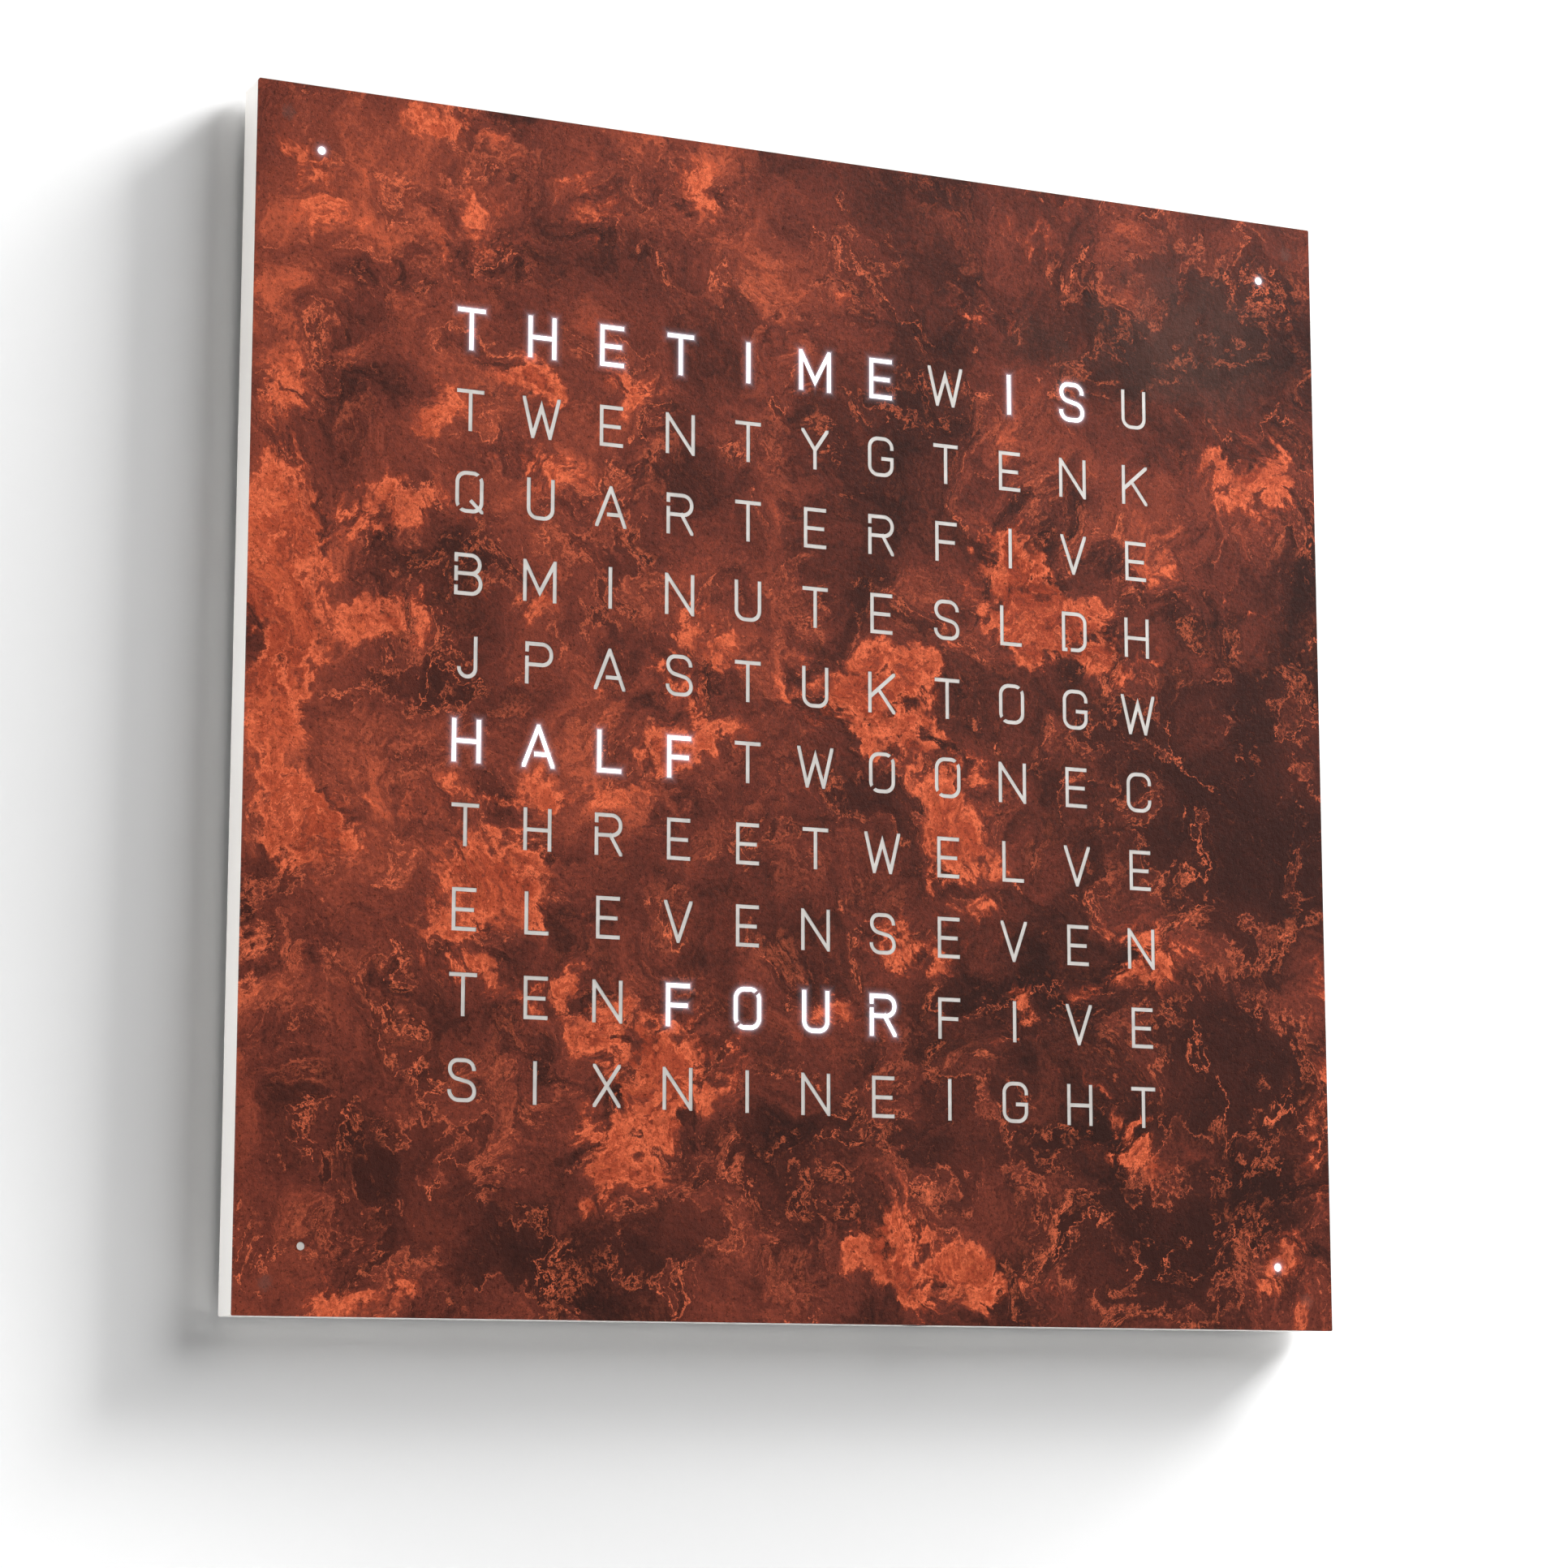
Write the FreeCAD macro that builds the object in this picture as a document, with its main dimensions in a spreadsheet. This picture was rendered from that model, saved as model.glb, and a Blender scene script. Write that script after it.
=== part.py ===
import FreeCAD, Part
import math
import os
import re

import Sketcher
from FreeCAD import Placement, Rotation, Vector

# Square word clock that hangs on a wall, in millimetres.
# X runs to the viewer's right, Y into the wall and Z up. The origin is on the wall,
# at the centre of the wall bracket's two screws. A depth is a distance from the wall
# towards the viewer, so it is -Y.

# Letters of the face, one string for each row, and the cells that are lit
WORDS = (
    "THETIMEWISU",
    "TWENTYGTENK",
    "QUARTERFIVE",
    "BMINUTESLDH",
    "JPASTUKTOGW",
    "HALFTWOONEC",
    "THREETWELVE",
    "ELEVENSEVEN",
    "TENFOURFIVE",
    "SIXNINEIGHT",
)
# Each lit span is a row, its first lit column and its last one, counted from 0
LIT_SPANS = ((0, 0, 6), (0, 8, 9), (5, 0, 3), (8, 3, 6))
# The four corners as signs along X and Z, and the corners whose minute dot is lit
CORNERS = ((-1, 1), (1, 1), (1, -1), (-1, -1))
LIT_CORNERS = ((-1, 1), (1, 1), (1, -1))

# Lengths below this are nought, in millimetres
NOUGHT = 1e-6

# Driving dimensions
SIZES = {
    # Face and case
    "face_side": 450.0,
    "cover_thickness": 1.5,
    "case_depth": 15.5,
    "wall_gap": 3.0,
    "corner_round": 0.6,
    "bay_floor": 3.5,
    "bottom_wall": 6.0,
    "bay_rib": 6.0,
    # Letter field
    "column_pitch": 28.2,
    "row_pitch": 31.05,
    "letter_height": 16.0,
    "stroke_width": 1.6,
    "bowl_radius": 3.6,
    "bridge_width": 1.4,
    "inlay_clearance": 0.05,
    "inlay_sink": 0.1,
    "dot_inset": 24.5,
    "dot_radius": 1.5,
    # Diffuser
    "diffuser_inset": 17.0,
    "diffuser_thickness": 1.0,
    "diffuser_clearance": 0.3,
    "seat_clearance": 1.0,
    # Light grid, boards and light sources
    "grid_border": 8.0,
    "well_wall": 4.2,
    "bay_clearance": 1.0,
    "boss_height": 1.1,
    "boss_radius": 4.0,
    "board_thickness": 1.6,
    "led_side": 5.0,
    "led_height": 1.6,
    "led_window_radius": 2.0,
    "led_window_depth": 0.3,
    # Small screws that hold the grid, the boards and the hanger
    "screw_radius": 1.5,
    "screw_clearance": 0.2,
    "screw_pilot_clearance": 0.05,
    "screw_head_radius": 2.75,
    "screw_head_height": 2.0,
    "screw_head_clearance": 0.25,
    "screw_head_sink": 0.2,
    "screw_socket_radius": 1.2,
    "screw_socket_depth": 1.0,
    "screw_bite": 2.6,
    "hanger_screw_bite": 4.0,
    # Corner lights
    "cup_half": 8.0,
    "cup_clearance": 0.5,
    "cup_bore_radius": 4.5,
    "channel_width": 6.0,
    "lead_radius": 0.9,
    "lead_height": 1.7,
    "lead_slot_width": 3.0,
    "lead_slot_height": 3.2,
    "lead_socket_length": 6.0,
    "lead_socket_width": 5.0,
    "lead_socket_height": 3.5,
    "lead_socket_inset": 3.0,
    # Cover studs and the ring magnets that hold them
    "stud_inset": 9.5,
    "stud_foot_radius": 3.0,
    "stud_foot_thickness": 1.2,
    "stud_pin_radius": 1.5,
    "stud_length": 5.2,
    "stud_clearance": 0.3,
    "magnet_radius": 5.0,
    "magnet_thickness": 5.0,
    "magnet_sink": 1.5,
    "magnet_clearance": 0.05,
    # Controller and the service row on the underside
    "service_half": 85.0,
    "service_axis_height": 3.75,
    "service_board_lift": 2.5,
    "controller_screw_inset": 5.0,
    "button_centre": -30.0,
    "button_pitch": 16.0,
    "button_radius": 3.2,
    "button_clearance": 0.3,
    "button_sink": 0.3,
    "button_chamfer": 0.4,
    "button_travel": 1.0,
    "button_flange_radius": 4.4,
    "button_flange_thickness": 1.2,
    "switch_side": 6.4,
    "switch_length": 5.0,
    "plunger_radius": 1.75,
    "plunger_clearance": 0.08,
    "plunger_reach": 1.5,
    "plunger_depth": 2.0,
    "sensor_place": 12.0,
    "sensor_width": 4.0,
    "sensor_length": 2.5,
    "pipe_radius": 2.0,
    "pipe_clearance": 0.05,
    "pipe_flange_radius": 3.0,
    "pipe_flange_thickness": 2.2,
    "inlet_place": 44.0,
    "inlet_width": 9.0,
    "inlet_length": 14.5,
    "inlet_clearance": 0.1,
    "inlet_bore_radius": 2.9,
    "inlet_bore_depth": 10.5,
    "inlet_pin_radius": 1.0,
    "inlet_pin_sink": 1.0,
    "inlet_pin_root": 2.0,
    # Parts on the controller board
    "cell_place": -62.0,
    "cell_radius": 10.0,
    "cell_thickness": 3.2,
    "cell_clearance": 0.3,
    "holder_side": 24.0,
    "holder_height": 4.6,
    "holder_floor": 0.8,
    "processor_place": -30.0,
    "processor_side": 12.0,
    "processor_height": 1.4,
    "crystal_place": -12.0,
    "crystal_length": 11.0,
    "crystal_width": 4.6,
    "crystal_end_flat": 0.46,
    "crystal_height": 3.4,
    "driver_place": 12.0,
    "driver_pitch": 14.0,
    "driver_length": 10.0,
    "driver_width": 6.0,
    "driver_height": 1.6,
    "regulator_place": 32.0,
    "regulator_side": 6.5,
    "regulator_height": 2.3,
    "capacitor_place": 50.0,
    "capacitor_radius": 3.15,
    "capacitor_height": 7.0,
    # Flat cable between the boards
    "flex_place": 0.0,
    "flex_width": 20.0,
    "flex_thickness": 0.3,
    "flex_height": 1.2,
    "flex_hump": 1.5,
    "flex_socket_side": 2.0,
    "flex_socket_length": 4.5,
    "flex_socket_height": 2.4,
    "flex_socket_inset": 0.8,
    # Wall bracket, hanger plate and wall spacers
    "bracket_drop": 29.0,
    "bracket_width": 120.0,
    "bracket_sheet": 2.0,
    "bracket_foot": 14.0,
    "bracket_screw_place": 40.0,
    "bracket_hole_radius": 2.25,
    "hook_channel": 4.0,
    "shelf_height": 8.0,
    "lip_rise": 8.0,
    "lip_clearance": 2.0,
    "hanger_width": 116.0,
    "hanger_sheet": 2.0,
    "hook_gap": 1.0,
    "hanger_leg": 7.0,
    "hanger_screw_height": 3.5,
    "hanger_screw_inner": 20.0,
    "hanger_screw_outer": 50.0,
    "hanger_pocket_depth": 8.0,
    "hanger_pocket_clearance": 1.0,
    "spacer_inset": 20.0,
    "spacer_radius": 6.0,
}

# Places worked out from the driving dimensions. A height on the face is counted from
# the face's centre, and centre_z takes it to the origin.
PLACES = {
    "column_count": f"{len(WORDS[0])}",
    "row_count": f"{len(WORDS)}",
    "half": "face_side / 2",
    "centre_z": "bracket_drop - half",
    "case_front": "wall_gap + case_depth",
    "cover_front": "case_front + cover_thickness",
    "dot_place": "half - dot_inset",
    "stud_place": "half - stud_inset",
    "spacer_place": "half - spacer_inset",
    "diffuser_half": "half - diffuser_inset",
    "diffuser_back": "case_front - diffuser_thickness",
    "seat_half": "diffuser_half + seat_clearance",
    "seat_floor": "diffuser_back - diffuser_clearance",
    "grid_half": "max(column_count * column_pitch; row_count * row_pitch) / 2 + grid_border",
    "bay_half": "grid_half + bay_clearance",
    "bay_back": "wall_gap + bay_floor",
    "board_back": "bay_back + boss_height",
    "board_front": "board_back + board_thickness",
    "grid_screw_place": "grid_half - grid_border / 2",
    "grid_head_seat": "seat_floor - screw_head_sink - screw_head_height",
    "grid_screw_length": "grid_head_seat - board_back + screw_bite",
    "controller_screw_length": "board_thickness + screw_bite",
    "hanger_screw_length": "hanger_sheet + hanger_screw_bite",
    "pocket_half": "cup_half + cup_clearance",
    "bay_corner": "(dot_place - bay_half) * sqrt(2)",
    "grid_corner": "(dot_place - grid_half) * sqrt(2)",
    "lead_socket_start": "grid_corner + lead_socket_inset",
    "lead_socket_end": "lead_socket_start + lead_socket_length",
    "grid_notch_end": "lead_socket_end + cup_clearance",
    "underside": "centre_z - half",
    "service_floor": "underside + bottom_wall",
    "service_top": "centre_z - bay_half - bay_rib",
    "service_axis": "board_front + service_axis_height",
    "controller_bottom": "service_floor + service_board_lift",
    "controller_top": "service_top - bay_clearance",
    "controller_half": "service_half - bay_clearance",
    "controller_mid": "(controller_bottom + controller_top) / 2",
    "flange_top": "service_floor + button_flange_thickness",
    "switch_bottom": "flange_top + plunger_reach",
    "plunger_top": "switch_bottom + plunger_depth",
    "crystal_end_radius": "(crystal_width - crystal_end_flat) / 2",
    "pocket_floor": "wall_gap + hanger_pocket_depth",
    "hanger_pocket_half": "max(bracket_width; hanger_width) / 2 + hanger_pocket_clearance",
    "web_under": "shelf_height + lip_rise + lip_clearance",
    "web_top": "web_under + hanger_sheet",
}

doc = FreeCAD.newDocument("word_clock")
sizes_sheet = doc.addObject("Spreadsheet::Sheet", "Sizes")
places_sheet = doc.addObject("Spreadsheet::Sheet", "Places")
nodes = []


def formula(text, own=""):
    """The text with each size and place written as a cell of its sheet."""

    def cell(match):
        word = match.group(0)
        if word in SIZES:
            return f"Sizes.{word}"
        if word in PLACES:
            return f"{own}{word}"
        return word

    return re.sub(r"[a-z][a-z_]+", cell, text)


def fill_sheets():
    """Put the driving dimensions and the places in their sheets, with names and aliases."""
    for row, (name, value) in enumerate(SIZES.items(), start=1):
        sizes_sheet.set(f"A{row}", name)
        sizes_sheet.set(f"B{row}", str(value))
        sizes_sheet.setAlias(f"B{row}", name)
    for row, name in enumerate(PLACES, start=1):
        places_sheet.setAlias(f"B{row}", name)
    for row, (name, text) in enumerate(PLACES.items(), start=1):
        places_sheet.set(f"A{row}", name)
        places_sheet.set(f"B{row}", "=" + formula(text))
    doc.recompute()


def size(name):
    """The number that a size or place has in its sheet."""
    sheet = sizes_sheet if name in SIZES else places_sheet
    return float(sheet.get(name))


def bind(thing, **properties):
    """Bind properties to formulas of sizes and places. A double underscore stands for a dot."""
    for name, text in properties.items():
        thing.setExpression(name.replace("__", "."), formula(text, "Places."))


def node(thing):
    """Hand a finished sub-part in as a node named after it."""
    thing.Label = thing.Name
    nodes.append(thing)
    return thing


def block(name, x, depth, z):
    """A box between two places along X, along the depth and along Z."""
    box = doc.addObject("Part::Box", name)
    bind(
        box,
        Length=f"({x[1]}) - ({x[0]})",
        Width=f"({depth[1]}) - ({depth[0]})",
        Height=f"({z[1]}) - ({z[0]})",
        Placement__Base__x=x[0],
        Placement__Base__y=f"-({depth[1]})",
        Placement__Base__z=z[0],
    )
    return box


def square(name, half_side, depth):
    """A square plate centred on the face."""
    sides = (f"-({half_side})", half_side)
    return block(name, sides, depth, (f"centre_z - ({half_side})", f"centre_z + ({half_side})"))


def rod(name, radius, x, depth, z):
    """A round rod along the depth."""
    cylinder = doc.addObject("Part::Cylinder", name)
    cylinder.Placement.Rotation = Rotation(Vector(1, 0, 0), 90)
    bind(
        cylinder,
        Radius=radius,
        Height=f"({depth[1]}) - ({depth[0]})",
        Placement__Base__x=x,
        Placement__Base__y=f"-({depth[0]})",
        Placement__Base__z=z,
    )
    return cylinder


def post(name, radius, x, depth, z):
    """A round rod that stands along Z."""
    cylinder = doc.addObject("Part::Cylinder", name)
    bind(
        cylinder,
        Radius=radius,
        Height=f"({z[1]}) - ({z[0]})",
        Placement__Base__x=x,
        Placement__Base__y=f"-({depth})",
        Placement__Base__z=z[0],
    )
    return cylinder


def cut(name, base, tool):
    """The base with the tool's space taken away."""
    result = doc.addObject("Part::Cut", name)
    result.Base = base
    result.Tool = tool
    return result


def fuse(name, shapes):
    """Several shapes as one."""
    result = doc.addObject("Part::MultiFuse", name)
    result.Shapes = shapes
    return result


def feature(name, shape):
    """An object with a shape worked out in code."""
    result = doc.addObject("Part::Feature", name)
    result.Shape = shape
    return result


def copies(name, source, where):
    """Separate copies of one piece, as one object."""
    doc.recompute()
    made = []
    for place in where:
        copy = source.Shape.copy()
        copy.Placement = place.multiply(copy.Placement)
        made.extend(copy.Solids)
    return feature(name, Part.makeCompound(made))


def on_face(x, z, depth=0.0):
    """The placement of a copy at a place on the face."""
    return Placement(Vector(x, -depth, size("centre_z") + z), Rotation())


def corner_places(offset, depth=0.0):
    """Placements at the same place in each of the four corners."""
    return [on_face(sx * offset, sz * offset, depth) for sx, sz in CORNERS]


def corner_frames():
    """Placements at the corner dots that turn local X towards the face's centre."""
    offset = size("dot_place")
    frames = []
    for sx, sz in CORNERS:
        place = on_face(sx * offset, sz * offset)
        place.Rotation = Rotation(Vector(1, 0, 0), Vector(-sx, 0, -sz))
        frames.append(place)
    return frames


def cell_places():
    """The centre of each letter cell on the face, with its row and column."""
    for row, word in enumerate(WORDS):
        for column in range(len(word)):
            x = (column - (len(word) - 1) / 2) * size("column_pitch")
            z = ((len(WORDS) - 1) / 2 - row) * size("row_pitch")
            yield row, column, x, z


def origin_plane(body, role):
    """One of a body's own origin planes."""
    for plane in body.Origin.OriginFeatures:
        if plane.Role == role:
            return plane
    raise ValueError(role)


def new_sketch(body, name, role):
    """An empty sketch on one of a body's own origin planes."""
    sketch = body.newObject("Sketcher::SketchObject", name)
    sketch.AttachmentSupport = [(origin_plane(body, role), "")]
    sketch.MapMode = "FlatFace"
    return sketch


def pin_down(sketch, geometry, point, place):
    """Tie a sketch point to the origin with formulas for its two coordinates."""
    for kind, axis, text in (("DistanceX", -2, place[0]), ("DistanceY", -1, place[1])):
        if text == "0":
            sketch.addConstraint(Sketcher.Constraint("PointOnObject", geometry, point, axis))
        else:
            index = sketch.addConstraint(Sketcher.Constraint(kind, -1, 1, geometry, point, 1.0))
            sketch.setExpression(f"Constraints[{index}]", formula(text, "Places."))


def outline_sketch(body, name, role, points):
    """A closed sketch of straight lines through points given as formulas."""
    sketch = new_sketch(body, name, role)
    count = len(points)
    start = [
        Vector(math.cos(2 * math.pi * turn / count), math.sin(2 * math.pi * turn / count), 0)
        for turn in range(count)
    ]
    for index in range(count):
        sketch.addGeometry(Part.LineSegment(start[index], start[(index + 1) % count]), False)
    for index in range(count):
        sketch.addConstraint(Sketcher.Constraint("Coincident", index, 2, (index + 1) % count, 1))
    for index, place in enumerate(points):
        pin_down(sketch, index, 1, place)
    return sketch


def holes_sketch(body, name, radius, points):
    """A sketch of equal circles in the X and Z plane."""
    sketch = new_sketch(body, name, "XZ_Plane")
    for index, place in enumerate(points):
        circle = Part.Circle(Vector(index + 1, index + 1, 0), Vector(0, 0, 1), 1.0)
        geometry = sketch.addGeometry(circle, False)
        bound = sketch.addConstraint(Sketcher.Constraint("Radius", geometry, 1.0))
        sketch.setExpression(f"Constraints[{bound}]", formula(radius, "Places."))
        pin_down(sketch, geometry, 3, place)
    return sketch


def folded_strip(name, profile, width, hole_radius, holes):
    """A folded sheet: a profile in the Y and Z plane, padded evenly along X and drilled."""
    body = doc.addObject("PartDesign::Body", name)
    pad = body.newObject("PartDesign::Pad", name + "_pad")
    pad.Profile = outline_sketch(body, name + "_profile", "YZ_Plane", profile)
    pad.SideType = "Symmetric"
    bind(pad, Length=width)
    doc.recompute()
    drill = body.newObject("PartDesign::Pocket", name + "_drill")
    drill.Profile = holes_sketch(body, name + "_holes", hole_radius, holes)
    drill.SideType = "Symmetric"
    drill.Type = "ThroughAll"
    body.Tip = drill
    return body


def turned(name, profile):
    """A piece turned about Z: a profile of radii and heights, revolved."""
    body = doc.addObject("PartDesign::Body", name)
    sketch = outline_sketch(body, name + "_profile", "XZ_Plane", profile)
    turn = body.newObject("PartDesign::Revolution", name + "_turn")
    turn.Profile = sketch
    turn.ReferenceAxis = (sketch, ["V_Axis"])
    turn.Angle = 360
    return body


def screw(name, length):
    """A socket screw: its head's underside is at Y = 0, its head towards the viewer."""
    head = rod(name + "_head", "screw_head_radius", "0", ("0", "screw_head_height"), "0")
    shank = rod(name + "_shank", "screw_radius", "0", (f"-({length})", "0"), "0")
    socket = doc.addObject("Part::Prism", name + "_socket")
    socket.Polygon = 6
    socket.Placement.Rotation = Rotation(Vector(1, 0, 0), 90)
    bind(
        socket,
        Circumradius="screw_socket_radius",
        Height="screw_socket_depth",
        Placement__Base__y="screw_socket_depth - screw_head_height",
    )
    return cut(name, fuse(name + "_blank", [head, shank]), socket)


# Wall bracket: the row's fixed piece. Its lip stands off the wall and opens upwards.


def make_wall_bracket():
    lip_front = "hook_channel + bracket_sheet"
    lip_top = "shelf_height + lip_rise"
    profile = [
        ("0", "-bracket_foot"),
        ("-bracket_sheet", "-bracket_foot"),
        ("-bracket_sheet", "shelf_height - bracket_sheet"),
        (f"-({lip_front})", "shelf_height - bracket_sheet"),
        (f"-({lip_front})", lip_top),
        ("-hook_channel", lip_top),
        ("-hook_channel", "shelf_height"),
        ("0", "shelf_height"),
    ]
    holes = [("-bracket_screw_place", "0"), ("bracket_screw_place", "0")]
    node(folded_strip("wall_bracket", profile, "bracket_width", "bracket_hole_radius", holes))


# Hanger plate: hooks behind the bracket's lip, rests on its shelf and carries the case


def hanger_screw_spots():
    inner, outer = "hanger_screw_inner", "hanger_screw_outer"
    return [(x, "hanger_screw_height") for x in (f"-{outer}", f"-{inner}", inner, outer)]


def hanger_screw_places(along_y, turn):
    """The same four places as placements, at a place along Y."""
    places = []
    for x in (-size("hanger_screw_outer"), -size("hanger_screw_inner")):
        for side in (-1, 1):
            where = Vector(side * x, along_y, size("hanger_screw_height"))
            places.append(Placement(where, turn))
    return places


def make_hanger():
    hook_front = "hook_gap + hanger_sheet"
    leg_back = "pocket_floor - hanger_sheet"
    profile = [
        ("-hook_gap", "shelf_height"),
        (f"-({hook_front})", "shelf_height"),
        (f"-({hook_front})", "web_under"),
        (f"-({leg_back})", "web_under"),
        (f"-({leg_back})", "-hanger_leg"),
        ("-pocket_floor", "-hanger_leg"),
        ("-pocket_floor", "web_top"),
        ("-hook_gap", "web_top"),
    ]
    hole = "screw_radius + screw_clearance"
    node(folded_strip("hanger_plate", profile, "hanger_width", hole, hanger_screw_spots()))
    source = screw("hanger_screw", "hanger_screw_length")
    seat = size("pocket_floor") - size("hanger_sheet")
    turned_round = Rotation(Vector(0, 0, 1), 180)
    node(copies("hanger_screws", source, hanger_screw_places(-seat, turned_round)))


# Case: one board with milled bays at the front and the hanger's pocket at the back


def grid_screw_spots():
    """Eight places on the light grid's border, two on each side."""
    edge = size("grid_screw_place")
    along_x = size("column_pitch") * size("column_count") / 4
    along_z = size("row_pitch") * size("row_count") / 4
    spots = [(sx * edge, sz * along_z) for sx, sz in CORNERS]
    return spots + [(sx * along_x, sz * edge) for sx, sz in CORNERS]


def controller_screw_spots():
    """The controller board's four corner screws, on the face."""
    inset = size("controller_screw_inset")
    across = size("controller_half") - inset
    heights = (size("controller_bottom") + inset, size("controller_top") - inset)
    return [(sx * across, z - size("centre_z")) for sx in (-1, 1) for z in heights]


def button_place(index):
    """The place along X of one of the three buttons, as a formula."""
    return f"button_centre + button_pitch * ({index - 1})"


def make_case():
    blank = square("case_blank", "half", ("wall_gap", "case_front"))
    doc.recompute()
    rounded = doc.addObject("Part::Fillet", "case_rounded")
    rounded.Base = blank
    back = -size("wall_gap")
    radius = size("corner_round")
    edges = []
    for index, edge in enumerate(blank.Shape.Edges, start=1):
        box = edge.BoundBox
        if box.YLength > radius or (abs(box.YMin - back) < radius and box.YLength < radius):
            edges.append((index, radius, radius))
    rounded.Edges = edges

    pocket = block(
        "corner_pocket",
        ("-pocket_half", "pocket_half"),
        ("board_back", "case_front"),
        ("-pocket_half", "pocket_half"),
    )
    channel = block(
        "corner_channel",
        ("0", "bay_corner + channel_width"),
        ("board_front", "case_front"),
        ("-channel_width / 2", "channel_width / 2"),
    )
    corner = fuse("corner_recess", [pocket, channel])
    magnet_pocket = rod(
        "magnet_pocket",
        "magnet_radius + magnet_clearance",
        "0",
        ("case_front - magnet_sink - magnet_thickness", "case_front"),
        "0",
    )
    hollows = [
        square("seat", "seat_half", ("seat_floor", "case_front")),
        square("bay", "bay_half", ("bay_back", "case_front")),
        block(
            "service_bay",
            ("-service_half", "service_half"),
            ("bay_back", "case_front"),
            ("service_floor", "service_top"),
        ),
        block(
            "flex_window",
            (
                "flex_place - flex_width / 2 - bay_clearance",
                "flex_place + flex_width / 2 + bay_clearance",
            ),
            ("board_front", "seat_floor"),
            ("service_top - bay_clearance", "centre_z - bay_half + bay_clearance"),
        ),
        block(
            "hanger_pocket",
            ("-hanger_pocket_half", "hanger_pocket_half"),
            ("0", "pocket_floor"),
            ("-hanger_leg - hanger_pocket_clearance", "web_top + hanger_pocket_clearance"),
        ),
        copies("corner_recesses", corner, corner_frames()),
        copies("magnet_pockets", magnet_pocket, corner_places(size("stud_place"))),
    ]
    boss = rod("boss", "boss_radius", "0", ("bay_back", "board_back"), "0")
    spots = grid_screw_spots() + controller_screw_spots()
    bosses = copies("bosses", boss, [on_face(x, z) for x, z in spots])
    milling = cut("milling", fuse("hollows", hollows), bosses)

    pilot_radius = "screw_radius + screw_pilot_clearance"
    pilot = rod("pilot", pilot_radius, "0", ("board_back - screw_bite", "board_back"), "0")
    hanger_pilot = rod(
        "hanger_pilot",
        pilot_radius,
        "0",
        ("pocket_floor", "pocket_floor + hanger_screw_bite"),
        "0",
    )
    through_wall = ("underside", "service_floor")
    drilling = [
        copies("pilots", pilot, [on_face(x, z) for x, z in spots]),
        copies("hanger_pilots", hanger_pilot, hanger_screw_places(0, Rotation())),
        post("pipe_bore", "pipe_radius + pipe_clearance", "sensor_place", "service_axis", through_wall),
        block(
            "inlet_window",
            (
                "inlet_place - inlet_width / 2 - inlet_clearance",
                "inlet_place + inlet_width / 2 + inlet_clearance",
            ),
            ("board_front - inlet_clearance", "board_front + 2 * service_axis_height + inlet_clearance"),
            through_wall,
        ),
    ]
    for index in range(3):
        name = f"button_bore_{index + 1}"
        bore = "button_radius + button_clearance"
        drilling.append(post(name, bore, button_place(index), "service_axis", through_wall))
    milled = cut("case_milled", rounded, milling)
    node(cut("case_body", milled, fuse("drilling", drilling)))


# Letters: each one is a few strokes of one width, on a plain technical alphabet.
# A stroke is a list of points, as shares of the letter's half width and half height,
# that is rounded at its corners if it starts with ROUND. Bridges keep the islands
# inside closed letters in place.

ROUND = "round"
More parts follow.
